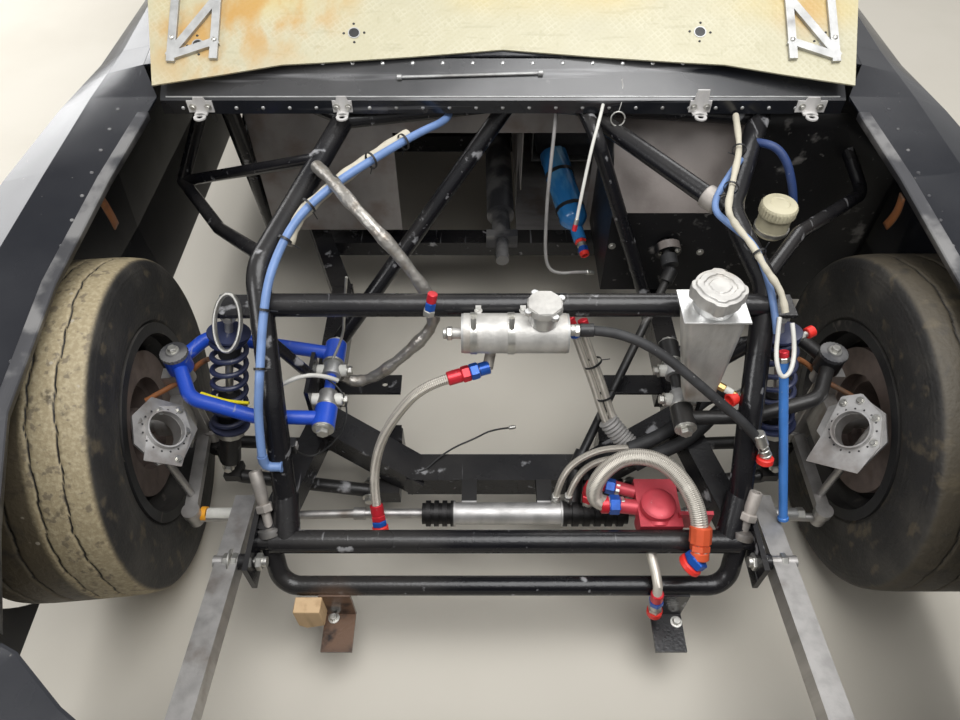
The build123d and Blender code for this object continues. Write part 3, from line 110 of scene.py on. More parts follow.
class Finish:
    """node material on object coordinates: a base colour, with others laid over it where their masks are 1"""

    def __init__(self, name, colour, rough=0.5, metal=0.0, **sockets):
        self.material = bpy.data.materials.new(name)
        self.material.use_nodes = True
        self.tree = self.material.node_tree
        self.shader = self.tree.nodes["Principled BSDF"]
        self.place = self.tree.nodes.new("ShaderNodeTexCoord")
        self.colour = (*colour, 1)
        self.relief = None
        self.shader.inputs["Base Color"].default_value = self.colour
        self.shader.inputs["Roughness"].default_value = rough
        self.shader.inputs["Metallic"].default_value = metal
        for key, value in sockets.items():
            self.shader.inputs[key.replace("_", " ")].default_value = value

    def node(self, kind, values, out=0, **settings):
        """one shader node, its inputs linked or set; gives an output socket"""
        made = self.tree.nodes.new("ShaderNode" + kind)
        for key, value in settings.items():
            setattr(made, key, value)
        for key, value in values.items():
            if isinstance(value, bpy.types.NodeSocket):
                self.tree.links.new(value, made.inputs[key])
            else:
                made.inputs[key].default_value = value
        return made.outputs[out]

    def noise(self, scale, stretch=(1, 1, 1), detail=6, lean=(0, 0, 0)):
        """noise about 1/scale metres across, squeezed by stretch"""
        where = self.node("Mapping", {"Vector": self.place.outputs["Object"], "Scale": stretch,
            "Rotation": lean})
        return self.node("TexNoise", {"Vector": where, "Scale": scale, "Detail": detail})

    def window(self, value, low, high, top=1.0):
        """0 below low, rising smoothly to top at high"""
        return self.node("MapRange", {0: value, 1: low, 2: high, 3: 0.0, 4: top},
            interpolation_type="SMOOTHSTEP")

    def maths(self, operation, a, b=0.0):
        return self.node("Math", {0: a, 1: b}, operation=operation)

    def axis(self, index, of="Object"):
        """one coordinate of the object's space, its normals or its UV map"""
        return self.node("SeparateXYZ", {0: self.place.outputs[of]}, out=index)

    def near(self, spot, inner, outer):
        """1 within inner metres of a spot, falling to 0 at outer"""
        gap = self.node("VectorMath", {0: self.place.outputs["Object"], 1: spot}, out=1,
            operation="DISTANCE")
        return self.window(gap, outer, inner)

    def attribute(self, name):
        return self.node("Attribute", {}, out=2, attribute_name=name)

    def stripes(self, direction, pitch):
        """waves from 0 to 1 along a direction, one each pitch metres"""
        along = self.node("VectorMath", {0: self.place.outputs["Object"], 1: tuple(direction)}, out=1,
            operation="DOT_PRODUCT")
        wave = self.maths("SINE", self.maths("MULTIPLY", along, TURN / pitch))
        return self.maths("MULTIPLY_ADD", wave, 0.5)

    def over(self, colour, mask):
        """lays a colour over what is there, where mask is 1"""
        base = self.shader.inputs["Base Color"]
        under = base.links[0].from_socket if base.links else self.colour
        mixed = self.node("Mix", {0: mask, 6: under, 7: (*colour, 1)}, out=2, data_type="RGBA")
        self.tree.links.new(mixed, base)
        return self

    def roughness(self, mask, low, high):
        spread = self.node("MapRange", {0: mask, 1: 0.0, 2: 1.0, 3: low, 4: high})
        self.tree.links.new(spread, self.shader.inputs["Roughness"])
        return self

    def bump(self, height, distance):
        values = {"Height": height, "Distance": distance, "Strength": 1.0}
        if self.relief:
            values["Normal"] = self.relief
        self.relief = self.node("Bump", values)
        self.tree.links.new(self.relief, self.shader.inputs["Normal"])
        return self

    def patches(self, colour, scale, low, high, top=1.0, stretch=(1, 1, 1), detail=6, lean=(0, 0, 0)):
        """lays a colour over what is there, where noise rises from low to high"""
        return self.over(colour, self.window(self.noise(scale, stretch, detail, lean), low, high, top))

    def grain(self, scale, distance, stretch=(1, 1, 1), detail=6):
        """relief of noise"""
        return self.bump(self.noise(scale, stretch, detail), distance)

    def both(self, a, b):
        """1 where two masks are 1"""
        return self.maths("MULTIPLY", a, b)


def dusty(finish, colour, amount=0.6, scale=3.0):
    """dust on what faces up, patchy with noise"""
    up = finish.window(finish.axis(2, "Normal"), 0.1, 0.95)
    patch = finish.window(finish.noise(scale, detail=9), 0.3, 0.75, amount)
    return finish.over(colour, finish.both(up, patch))


def painted(name, colour, rough, worn=(0.30, 0.30, 0.31), low=0.60, high=0.66, scale=14, dust=0.35,
        **sockets):
    """paint worn through in spots, dusty on top, with fine scratches"""
    f = Finish(name, colour, rough, **sockets)
    f.patches(worn, scale, low, high, detail=10)
    f.patches(worn, 60, 0.66, 0.72, 0.5, (1, 0.06, 1), 4)
    dusty(f, (0.27, 0.25, 0.22), dust, 5)
    f.roughness(f.noise(9), rough * 0.7, min(1.0, rough * 1.5))
    return f.grain(160, 0.0004, detail=3)


def bare(name, colour, rough=0.38, scale=40, streak=(1, 1, 0.08), stain=(0.16, 0.15, 0.14), metal=0.85,
        low=0.56, high=0.8):
    """bare metal with drawn streaks and darker stains"""
    f = Finish(name, colour, rough, metal)
    f.patches(tuple(c * 0.62 for c in colour), scale, 0.35, 0.75, 0.6, streak, 4)
    f.patches(stain, 11, low, high, 0.75, detail=10)
    f.roughness(f.noise(26, streak), rough * 0.65, min(1.0, rough * 1.6))
    return f.grain(260, 0.0002, streak, 3)


def plastic(name, colour, rough=0.4, shade=0.7, **sockets):
    """moulded or anodised colour, slightly uneven and scuffed"""
    f = Finish(name, colour, rough, **sockets)
    f.patches(tuple(c * shade for c in colour), 30, 0.42, 0.72, 0.8, detail=8)
    f.patches((0.5, 0.49, 0.47), 120, 0.68, 0.76, 0.35)
    return f.grain(240, 0.0002, detail=3)


def polished_black(f, shine):
    """uneven gloss of a large panel, with shallow waves in it"""
    return f.roughness(f.noise(6, detail=8), *shine).grain(3.5, 0.004, detail=2)


def panel_paint():
    """gloss black of the body, with fine scratches and a few stone marks"""
    f = Finish("gloss black paint", (0.006, 0.007, 0.011), 0.2, Specular_IOR_Level=0.35, Coat_Weight=0.25,
        Coat_Roughness=0.1)
    dusty(f, (0.11, 0.11, 0.115), 0.28, 2.2)
    f.patches((0.42, 0.42, 0.43), 34, 0.72, 0.78, 0.22, (1, 0.05, 0.4), 4)
    f.patches((0.34, 0.32, 0.29), 90, 0.74, 0.80, 0.35, detail=2)
    return polished_black(f, (0.08, 0.36))


def cowl_sheet():
    """gloss black of the cowl, scuffed along its width"""
    f = Finish("scuffed gloss black sheet", (0.008, 0.009, 0.012), 0.25, Specular_IOR_Level=0.5,
        Coat_Weight=0.4, Coat_Roughness=0.12)
    dusty(f, (0.16, 0.155, 0.15), 0.30, 4)
    f.patches((0.42, 0.42, 0.43), 26, 0.60, 0.72, 0.40, (0.06, 1, 1), 5)
    f.patches((0.40, 0.38, 0.36), 16, 0.66, 0.76, 0.45, detail=9)
    return polished_black(f, (0.10, 0.40))


def tube_paint():
    """black of the frame tubes, with a rust patch under the right hanging plate"""
    f = painted("worn black tube paint", (0.007, 0.007, 0.009), 0.24, low=0.64, high=0.70, scale=17,
        dust=0.10, Specular_IOR_Level=0.42)
    patch = f.near((-0.331, FRONT_AXLE - 0.34, 0.15), 0.055, 0.10)
    return f.over((0.17, 0.10, 0.065), f.both(patch, f.window(f.noise(24, detail=8), 0.3, 0.5, 0.95)))


def box_paint(name):
    """worn black of the folded sheet boxes"""
    return painted(name, (0.009, 0.009, 0.010), 0.4, worn=(0.20, 0.19, 0.18), low=0.64, high=0.74,
        dust=0.15, Specular_IOR_Level=0.4)


def grey_lidded():
    """black box paint whose upward faces are grey and stained"""
    f = box_paint("black box with a grey lid")
    lid_up = f.window(f.axis(2, "Normal"), 0.4, 0.7)
    f.over((0.20, 0.175, 0.16), lid_up)
    return f.over((0.12, 0.10, 0.09), f.both(lid_up, f.window(f.noise(8, detail=9), 0.45, 0.68, 0.8)))


def rack_metal():
    """silver rack housing, with dark bellows from x -0.104 and 0.127 outward and a dark front edge"""
    f = bare("rack castings and bellows", (0.52, 0.51, 0.50), 0.42, low=0.5, high=0.75, metal=0.7)
    for low_x, high_x in ((-0.100, -0.104), (0.123, 0.127)):
        f.over((0.022, 0.021, 0.021), f.window(f.axis(0), low_x, high_x))
    return f.over((0.030, 0.029, 0.029), f.window(f.axis(1), FRONT_AXLE - 0.127, FRONT_AXLE - 0.124))


body_paint, cowl_paint, frame_paint, rack_silver = panel_paint(), cowl_sheet(), tube_paint(), rack_metal()
box_black, box_grey = box_paint("worn black sheet"), grey_lidded()
arm_blue = painted("blue arm paint", (0.012, 0.07, 0.50), 0.3, worn=(0.35, 0.36, 0.40), low=0.68,
    high=0.76, dust=0.1)
arm_black = painted("satin black arm paint", (0.010, 0.010, 0.011), 0.34, low=0.66, high=0.74, dust=0.12,
    Specular_IOR_Level=0.4)
rim_black = painted("satin black wheel", (0.012, 0.012, 0.013), 0.45, worn=(0.16, 0.14, 0.12), low=0.62,
    high=0.74, dust=0.3)
spring_paint = painted("navy spring paint", (0.018, 0.026, 0.075), 0.35, worn=(0.2, 0.2, 0.22), low=0.7,
    high=0.8, dust=0.15)
strap_brown = painted("brown strap", (0.30, 0.11, 0.035), 0.55, worn=(0.12, 0.06, 0.03), low=0.5,
    high=0.65, dust=0.2)
aluminium = bare("polished aluminium", (0.74, 0.74, 0.73), 0.3, low=0.62, high=0.9)
tank_silver = bare("satin tank metal", (0.60, 0.585, 0.555), 0.46, streak=(1, 1, 0.35),
    stain=(0.30, 0.24, 0.17), metal=0.65, low=0.52, high=0.76).grain(120, 0.0006, detail=4)
dull_aluminium = bare("dull aluminium", (0.50, 0.50, 0.49), 0.45, low=0.5, high=0.78, metal=0.75)
steel = bare("bare steel", (0.47, 0.455, 0.44), 0.42, stain=(0.13, 0.09, 0.06), low=0.55, high=0.8)
zinc = bare("plated bolts", (0.60, 0.59, 0.55), 0.32, scale=90, low=0.6, high=0.85)
stud_grey = bare("pale grey studs", (0.50, 0.46, 0.42), 0.5, metal=0.5, low=0.5, high=0.7)
gold = bare("yellow plated bolts", (0.66, 0.50, 0.22), 0.32, scale=90, low=0.6, high=0.85)
brass = bare("brass", (0.62, 0.44, 0.18), 0.35, low=0.6, high=0.9)
iron = bare("browned iron", (0.24, 0.19, 0.17), 0.5, streak=(1, 1, 1), stain=(0.10, 0.06, 0.04), metal=0.6)
# pale aluminium brackets, made less metallic than bare aluminium so that their dimly lit upright faces read
# bright: painted light
lit_clip_silver = bare("pale bracket plate painted as if lit", (0.72, 0.70, 0.68), 0.45, metal=0.35, low=0.6, high=0.85)
scuffed = bare("scuffed black edge", (0.055, 0.055, 0.06), 0.45, streak=(1, 0.05, 1),
    stain=(0.24, 0.235, 0.23), metal=0.3, low=0.46, high=0.62)
sheet_grey = bare("worn grey sheet", (0.34, 0.32, 0.31), 0.55, streak=(0.3, 1, 0.2),
    stain=(0.20, 0.15, 0.13), metal=0.35, low=0.45, high=0.7)
painted_plate = bare("worn duct plates", (0.52, 0.51, 0.50), 0.48, streak=(1, 1, 1),
    stain=(0.20, 0.17, 0.15), metal=0.45, low=0.42, high=0.66)
rubber = plastic("matt black rubber", (0.022, 0.022, 0.023), 0.62, 1.8)
black_plastic = plastic("black plastic", (0.016, 0.016, 0.017), 0.4, 1.6)
red_anodised = plastic("red anodised", (0.62, 0.025, 0.04), 0.3, 0.7, Metallic=0.35)
blue_anodised = plastic("blue anodised", (0.02, 0.11, 0.50), 0.28, 0.7, Metallic=0.35)
orange_anodised = plastic("orange anodised", (0.80, 0.13, 0.05), 0.32, 0.8, Metallic=0.3)
filter_red = plastic("faded red anodised", (0.52, 0.055, 0.075), 0.42, 0.75, Metallic=0.25)
red_plastic = plastic("red plastic", (0.78, 0.035, 0.025), 0.45, 0.85)
amber = plastic("amber collar", (0.85, 0.38, 0.03), 0.4, 0.8)
yellow = plastic("yellow plastic", (0.85, 0.72, 0.02), 0.45, 0.85)
green = plastic("green plastic", (0.03, 0.42, 0.08), 0.45, 0.8)
cream_plastic = plastic("cream plastic", (0.62, 0.57, 0.40), 0.4, 0.82)
navy_rubber = plastic("navy hose rubber", (0.018, 0.040, 0.13), 0.5, 1.3)
pale_blue = plastic("pale blue hose", (0.16, 0.26, 0.50), 0.42, 0.8)
blue_tube = plastic("blue tube", (0.06, 0.20, 0.55), 0.25, 0.85)
white_hose = plastic("white hose", (0.66, 0.65, 0.60), 0.45, 0.8)
wire_black = plastic("black wire", (0.02, 0.02, 0.02), 0.5, 1.6)
wire_grey = plastic("grey wire", (0.30, 0.29, 0.28), 0.5, 0.7)

pale_wood = Finish("pale wood", (0.66, 0.46, 0.26), 0.7).patches((0.42, 0.26, 0.13), 45, 0.45, 0.7, 0.7,
    (1, 1, 0.12), 5)
clear = dusty(Finish("clear sheet", (0.80, 0.84, 0.86), 0.06, Transmission_Weight=0.92, IOR=1.2),
    (0.45, 0.43, 0.40), 0.25, 4)
foil = Finish("foil wrap", (0.40, 0.38, 0.35), 0.35, 0.7).patches((0.30, 0.25, 0.20), 35, 0.5, 0.7, 0.7,
    detail=8).grain(60, 0.004, detail=5)
cream_wrap = Finish("cream cloth sleeve", (0.54, 0.50, 0.40), 0.7).patches((0.30, 0.27, 0.21), 28, 0.5,
    0.75, 0.6, detail=8).grain(320, 0.0005, detail=2)
film = Finish("blue film", (0.03, 0.20, 0.50), 0.22, Coat_Weight=0.4).patches((0.14, 0.38, 0.62), 18, 0.45,
    0.65, 0.9, (1, 0.3, 1), 8).grain(30, 0.003, (1, 0.4, 1), 5)


def hood_laminate():
    """raw laminate: crossed stripes as its weave, fibres, resin high up and brown stains"""
    f = Finish("raw glass-fibre laminate", (0.49, 0.455, 0.31), 0.36, Coat_Weight=0.2, Coat_Roughness=0.3)
    weave = 0.0105
    cross = f.maths("MAXIMUM", f.stripes((0.80, 0.52, 0.30), weave), f.stripes((-0.62, 0.68, 0.39), weave))
    patchy = f.window(f.noise(22, detail=8), 0.36, 0.66)
    f.over((0.56, 0.53, 0.39), f.both(f.window(cross, 0.62, 1.0, 0.6), patchy))
    f.patches((0.40, 0.37, 0.24), 70, 0.58, 0.70, 0.5, (0.15, 1, 1), 5, (0, 0, 0.6))
    f.patches((0.42, 0.39, 0.25), 70, 0.58, 0.70, 0.5, (1, 0.15, 1), 5, (0, 0, 0.75))
    f.patches((0.46, 0.43, 0.31), 5, 0.5, 0.78, 0.55, detail=8)
    high_up = f.window(f.axis(2), 0.885, 0.925)
    f.over((0.60, 0.465, 0.165), f.both(high_up, f.window(f.noise(3.2, (1, 0.5, 1), 9), 0.36, 0.66, 0.65)))
    for spot, inner, outer in (((-0.60, -0.79, 0.87), 0.05, 0.20), ((-0.44, -0.74, 0.90), 0.02, 0.17),
            ((-0.34, -0.66, 0.95), 0.0, 0.12), ((0.26, -0.62, 0.97), 0.03, 0.17),
            ((-0.55, -0.50, 1.04), 0.03, 0.24), ((0.62, -0.76, 0.89), 0.0, 0.10)):
        stain = f.near(spot, inner, outer)
        f.over((0.50, 0.27, 0.055), f.both(stain, f.window(f.noise(16, (1, 0.4, 1), 10), 0.34, 0.60, 0.85)))
    return f.bump(cross, 0.0002).grain(9, 0.003, detail=4)


def braided_steel():
    """plait of two crossing sines on the hose's own map, 62 along it and 4 round it"""
    f = Finish("braided steel hose", (0.60, 0.56, 0.49), 0.42, 0.45)
    along = f.maths("MULTIPLY", f.axis(0, "UV"), 62 * TURN)
    around = f.maths("MULTIPLY", f.axis(1, "UV"), 4 * TURN)
    plait = f.both(*[f.maths("SINE", f.maths(way, along, around)) for way in ("ADD", "SUBTRACT")])
    f.over((0.17, 0.15, 0.13), f.window(plait, 0.05, 0.6, 0.75))
    return f.patches((0.72, 0.68, 0.60), 40, 0.5, 0.75, 0.5, detail=5).bump(plait, 0.0006)


def tyre_rubber():
    """dusty rubber: pale worn band, stones and dust on the crown more to the car's right, dark grooves"""
    f = Finish("tyre rubber", (0.020, 0.019, 0.018), 0.62)
    f.patches((0.050, 0.046, 0.040), 9, 0.42, 0.7, 0.9, detail=9)
    f.patches((0.115, 0.092, 0.058), 30, 0.56, 0.72, 0.6, (0.4, 1, 1), 12)
    crown = f.attribute("crown")
    right_side = f.window(f.axis(0), 0.0, -0.1)
    dust = f.both(crown, f.maths("MULTIPLY_ADD", right_side, 0.5))
    f.over((0.105, 0.084, 0.052), f.both(dust, f.window(f.noise(26, detail=10), 0.20, 0.5)))
    for colour, scale, low, high, top in (((0.36, 0.295, 0.18), 38, 0.22, 0.42, 0.95),
            ((0.48, 0.41, 0.27), 150, 0.40, 0.70, 0.7), ((0.16, 0.13, 0.09), 60, 0.56, 0.66, 0.75)):
        f.over(colour, f.both(f.attribute("pale"), f.window(f.noise(scale, detail=12), low, high, top)))
    pits = f.window(f.node("TexVoronoi", {"Vector": f.place.outputs["Object"], "Scale": 34.0}), 0.16, 0.08)
    stones = f.both(pits, crown)
    f.over((0.50, 0.45, 0.36), f.both(stones, f.both(right_side, f.window(f.noise(14), 0.5, 0.56, 0.8))))
    f.over((0.016, 0.014, 0.012), f.window(f.attribute("groove"), 0.25, 0.7))
    return f.grain(150, 0.0012).grain(30, 0.002, detail=3)


def knitted_cloth():
    """black seat cloth with a fine knit in two directions"""
    f = Finish("black seat cloth", (0.030, 0.030, 0.034), 0.85, Sheen_Weight=0.25)
    knit = f.both(f.stripes(X, 0.0035), f.stripes((0, 0.7, 0.7), 0.0035))
    return f.over((0.060, 0.060, 0.066), f.window(knit, 0.2, 0.8)).bump(knit, 0.0008)


laminate, braid, tread, pad_cloth = hood_laminate(), braided_steel(), tyre_rubber(), knitted_cloth()

CAD_FINISH = {
    body_paint: "fender_left fender_right door_left door_right quarter_left quarter_right "
                "nose_cover tail_cover roof_shell deck_lid",
    clear: "windshield rear_windows",
    laminate: "hood_panel",
    cowl_paint: "cowl_panel",
    tank_silver: "surge_tank catch_tank trailing_arms",
    dull_aluminium: "hood_stiffeners seat_shell",
    frame_paint: "main_frame front_clip roll_cage rear_axle",
    sheet_grey: "interior_sheets firewall",
    scuffed: "driveshaft",
    box_black: "dash_panel fuel_cell steering_shaft",
    box_grey: "footbox",
    rack_silver: "rack_housing",
    steel: "nose_rails knuckle_left knuckle_right rack_bar",
    arm_black: "upper_arm_left lower_arms",
    arm_blue: "upper_arm_right",
    rim_black: "rim_front_left rim_front_right rim_rear_left rim_rear_right",
    iron: "hub_front_left hub_front_right",
    filter_red: "filter_mount",
    rubber: "steering_wheel",
}
for finish, names in CAD_FINISH.items():
    for name in names.split():
        nodes[name].data.materials.clear()
        nodes[name].data.materials.append(finish.material)


# Shapes: each is (vertices, quads, end faces)


def lattice(points, rows_meet=False, columns_meet=False, capped=False):
    """quads of a (rows, columns, 3) grid; a direction that meets joins its last line to its first"""
    rows, columns = points.shape[:2]
    index = np.arange(rows * columns).reshape(rows, columns)
    ends = [index[0, ::-1], index[-1]] if capped else []
    if rows_meet:
        index = np.vstack([index, index[:1]])
    if columns_meet:
        index = np.hstack([index, index[:, :1]])
    quads = np.stack([index[:-1, :-1], index[:-1, 1:], index[1:, 1:], index[1:, :-1]], -1).reshape(-1, 4)
    return points.reshape(-1, 3), quads, ends


def square_to(axis):
    """two directions square to an axis and to each other"""
    axis = unit(axis)
    side = unit(np.cross(axis, Z if abs(axis[2]) < 0.9 else Y))
    return side, np.cross(axis, side)


def turned(profile, base, axis, sides=28, hollow=False):
    """(radius, height) profile round an axis: base + height * axis + radius * (cos a, sin a) across it"""
    side, rise = square_to(axis)
    a = (np.arange(sides) + 0.5)[:, None] * TURN / sides
    ring = np.cos(a) * side + np.sin(a) * rise
    profile = np.array(profile, float)
    points = np.asarray(base) + profile[:, 1, None, None] * unit(axis) + profile[:, 0, None, None] * ring
    return lattice(points, rows_meet=hollow, columns_meet=True, capped=not hollow)


def drawn(path, radius, sides=12, lie=None):
    """round section square to a path, one radius or one per point; the path never runs along lie"""
    path = np.asarray(path, float)
    run = unit(np.gradient(path, axis=0))
    lie = np.linalg.svd(path - path.mean(0))[2][-1] if lie is None else lie
    side = unit(np.cross(run, lie))
    rise = np.cross(side, run)
    a = np.arange(sides)[None, :, None] * TURN / sides
    reach = np.broadcast_to(radius, len(path))[:, None, None]
    spoke = np.cos(a) * side[:, None] + np.sin(a) * rise[:, None]
    return lattice(path[:, None] + reach * spoke, columns_meet=True, capped=True)


def plate(outline, depth):
    """flat outline and its copy moved by depth, joined by walls"""
    outline = np.asarray(outline, float)
    n = len(outline)
    i = np.arange(n)
    j = (i + 1) % n
    return np.concatenate([outline, outline + depth]), np.stack([i, j, j + n, i + n], 1), [i[::-1], i + n]


def slab(low, high):
    """box between two corners, as a plate"""
    (x0, y0, z0), (x1, y1, z1) = low, high
    return plate([(x0, y0, z0), (x1, y0, z0), (x1, y1, z0), (x0, y1, z0)], (0, 0, z1 - z0))


def ring(at, axis, inner, outer, thick, sides=28):
    """flat ring or band centred on a point"""
    half = thick / 2
    section = [(inner, -half), (outer, -half), (outer, half), (inner, half)]
    return turned(section, at, axis, sides, hollow=True)


def dome(at, axis, radius, sides=10):
    """low rivet head: radius falling as a quarter circle"""
    a = np.linspace(0, 1.4, 4)
    return turned(np.stack([radius * np.cos(a), 0.6 * radius * np.sin(a)], 1), at, axis, sides)


def hexagon(at, axis, radius, tall):
    """six-sided head or nut with chamfered edges"""
    c = radius * 0.12
    return turned([(radius - c, 0), (radius, c), (radius, tall - c), (radius - c, tall)], at, axis, 6)


def bolt(at, axis, radius, head=None, finish=None):
    """washer and hexagon head standing on a face"""
    finish = finish or zinc
    axis = unit(axis)
    brim = [(radius * 1.45, 0), (radius * 1.45, radius * 0.22), (radius * 0.5, radius * 0.25)]
    top = hexagon(np.asarray(at) + axis * radius * 0.22, axis, radius, head or radius)
    return [(turned(brim, at, axis, 20), finish), (top, finish)]


def stack(base, toward, *steps):
    """fitting built of steps one after another: (finish, length, radius, sides) and True for a hollow cap"""
    axis = unit(np.asarray(toward, float) - base)
    made, at = [], np.asarray(base, float)
    for finish, length, radius, sides, *open_end in steps:
        length, radius = length / 1000, radius / 1000
        c = min(radius * 0.12, length * 0.2)
        profile = [(radius - c, 0), (radius, c), (radius, length - c), (radius - c, length)]
        if open_end:
            profile += [(radius * 0.72, length), (radius * 0.68, length * 0.3)]
        made.append((turned(profile, at, axis, sides), finish))
        at = at + axis * length
    return made


def lathe(finish, at, axis, sides, *profile):
    """one part: (radius, height) pairs in millimetres turned round an axis"""
    return [(turned(np.array(profile) / 1000, at, axis, sides), finish)]


def band(finish, at, axis, inner, outer, thick, sides=28):
    """one part: flat ring or clamp band centred on a point, in millimetres"""
    return [(ring(at, axis, inner / 1000, outer / 1000, thick / 1000, sides), finish)]


def lobed(at, rows, count, wave):
    """lid round z of (radius, height, rib) rows in millimetres: each radius grows by rib * wave(a)"""
    a = np.linspace(0, TURN, count, endpoint=False)
    around = np.stack([np.cos(a), np.sin(a), 0 * a], -1)
    rows = [(radius + rib * wave(a))[:, None] * around + (0, 0, height) for radius, height, rib in rows]
    return lattice(np.array(rows) / 1000 + at, columns_meet=True, capped=True)


def build(name, parts, body="chassis", crease=35, level=0, wall=0.0, bevel=0.0, stands_for=()):
    """one mesh of (shape, finish) pairs with its faces turned outward, riding on a body"""
    finishes = list(dict.fromkeys(f for _, f in parts))
    verts, faces, which, start = [], [], [], 0
    for (points, quads, ends), f in parts:
        verts.append(points)
        faces += (np.asarray(quads) + start).tolist() + [(np.asarray(e) + start).tolist() for e in ends]
        which += [finishes.index(f)] * (len(quads) + len(ends))
        start += len(points)
    mesh = bpy.data.meshes.new(name)
    mesh.from_pydata(np.concatenate(verts).tolist(), [], faces)
    for f in finishes:
        mesh.materials.append(f.material)
    mesh.polygons.foreach_set("material_index", which)
    work = bmesh.new()
    work.from_mesh(mesh)
    bmesh.ops.recalc_face_normals(work, faces=work.faces)
    work.to_mesh(mesh)
    work.free()
    mesh.polygons.foreach_set("use_smooth", [True] * len(mesh.polygons))
    mesh.set_sharp_from_angle(angle=math.radians(crease))
    piece = bpy.data.objects.new(name, mesh)
    bpy.context.collection.objects.link(piece)
    if wall:
        thick = piece.modifiers.new("wall", "SOLIDIFY")
        thick.thickness, thick.offset = wall, 0
    if bevel:
        edge = piece.modifiers.new("edges", "BEVEL")
        edge.width, edge.segments, edge.limit_method = bevel, 2, "ANGLE"
    if level:
        sub = piece.modifiers.new("smooth", "SUBSURF")
        sub.levels = sub.render_levels = level
    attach(piece, body)
    if stands_for:
        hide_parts(*stands_for)
    return piece


def flex(name, points, diameter, finish, sides=6):
    """bendy piece: a NURBS curve of order 3 through its control points, in metres, with a round section"""
    curve = bpy.data.curves.new(name, "CURVE")
    curve.dimensions, curve.bevel_depth, curve.bevel_resolution = "3D", diameter / 2, sides
    curve.resolution_u, curve.use_fill_caps = 10, True
    spline = curve.splines.new("NURBS")
    spline.points.add(len(points) - 1)
    spline.points.foreach_set("co", np.hstack([points, np.ones((len(points), 1))]).ravel())
    spline.order_u = 3
    spline.use_endpoint_u = True
    curve.materials.append(finish.material)
    piece = bpy.data.objects.new(name, curve)
    bpy.context.collection.objects.link(piece)
    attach(piece, "chassis")
    return piece


def run_length(points):
    """length of the order-3 NURBS through control points, read from a curve with no section"""
    bare_line = flex("measure", points, 0.0, rubber)
    mesh = bpy.data.meshes.new_from_object(bare_line)
    co = np.zeros(len(mesh.vertices) * 3)
    mesh.vertices.foreach_get("co", co)
    bpy.data.objects.remove(bare_line)
    return float(np.linalg.norm(np.diff(co.reshape(-1, 3), axis=0), axis=1).sum())


def free_cord(name, points, diameter, finish,
        node=None, sides=6):
    """free hose or wire, hiding the CAD node it stands for; its length is measured and not kept"""
    piece = flex(name, points, diameter, finish, sides)
    if node:
        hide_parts(node)
    run_length(points)
    return piece


# Hoses that have a CAD node; scene and CAD share these routes

BRAIDED = fwd((-104.3, -62.1, 560), (-150, -76, 556), (-198, -92, 500), (-236, -106, 430),
    (-256, -128, 358), (-258, -160, 296), (-252, -186, 262))
FILTER = fwd((213.7, -178, 304), (184, -174.5, 304), (174, -160, 342), (200, -136, 376), (240, -122, 396),
    (292, -132, 402), (330, -165, 398), (354, -212, 386), (362, -258, 364), (360, -298, 326))
VENT = fwd((132.4, -16, 640), (176, -16, 640), (236, -34, 632), (286, -58, 612), (334, -84, 582),
    (382, -106, 548), (428, -124, 514), (470, -144, 474), (484, -154, 446))
BLUE = fwd((-113.52, 507.7, 747.04), (-115.5, 478.7, 751), (-172, 409, 765), (-242, 332, 765),
    (-321, 253, 757), (-380.5, 188, 736), (-410, 129, 712), (-425, 58, 692), (-433.4, 4.4, 650),
    (-436.4, -40.7, 615), (-437.9, -92.2, 580), (-449.2, -121.7, 515), (-448.4, -160, 455))

braided_root = BRAIDED[-1] - unit(BRAIDED[-1] - BRAIDED[-2]) * 0.030
elbow = stack(front(-30, -39.4, 566), BRAIDED[0], (blue_anodised, 20, 12.6, 24),
    (blue_anodised, 17, 15.5, 6), (red_anodised, 16, 15.2, 6), (red_anodised, 27, 13.2, 24))
socket = stack(braided_root, BRAIDED[-1], (red_anodised, 22, 13.4, 24), (red_anodised, 12, 15.2, 6),
    (blue_anodised, 12, 15.6, 6), (red_plastic, 14, 16.5, 24, True))
braided_ends = [build("braided_hose_elbow", elbow), build("braided_hose_socket", socket)]
free_cord("braided_line", BRAIDED, 0.019, braid,
    "braided_hose")

down = unit(FILTER[-1] - FILTER[-2])
nut = stack(FILTER[0] + (0.026, 0, 0), FILTER[0], (zinc, 9, 16, 6), (blue_anodised, 22, 19.5, 6),
    (red_anodised, 16, 17.6, 24))
socket = stack(FILTER[-1] - down * 0.058, FILTER[-1], (orange_anodised, 34, 20.5, 10),
    (orange_anodised, 14, 19.0, 6), (orange_anodised, 16, 17.6, 24))
cap = stack(FILTER[-1] + down * 0.002, FILTER[-1] + (-0.024, -0.012, -0.030), (blue_anodised, 17, 22, 6),
    (red_plastic, 13, 23.5, 28, True))
filter_ends = [build("filter_hose_nut", nut), build("filter_hose_socket", socket + cap)]
free_cord("filter_line", FILTER, 0.032, braid,
    "filter_hose")

tail = unit(VENT[-1] - VENT[-2])
collar = stack(VENT[0] - (0.012, 0, 0), VENT[1], (zinc, 9, 11.5, 6), (black_plastic, 26, 12, 24))
socket = stack(VENT[-1] - tail * 0.056, VENT[-1], (zinc, 30, 11.6, 24), (zinc, 9, 10.6, 6),
    (zinc, 12, 10.0, 20), (zinc, 5, 11, 20))
cap = stack(VENT[-1] - tail * 0.002, VENT[-1] + (0.001, -0.012, -0.03), (zinc, 5, 10, 24),
    (red_plastic, 13, 15.5, 28, True))
vent_ends = [build("vent_hose_collar", collar), build("vent_hose_socket", socket + cap)]
free_cord("vent_line", VENT, 0.018, rubber, "vent_hose")

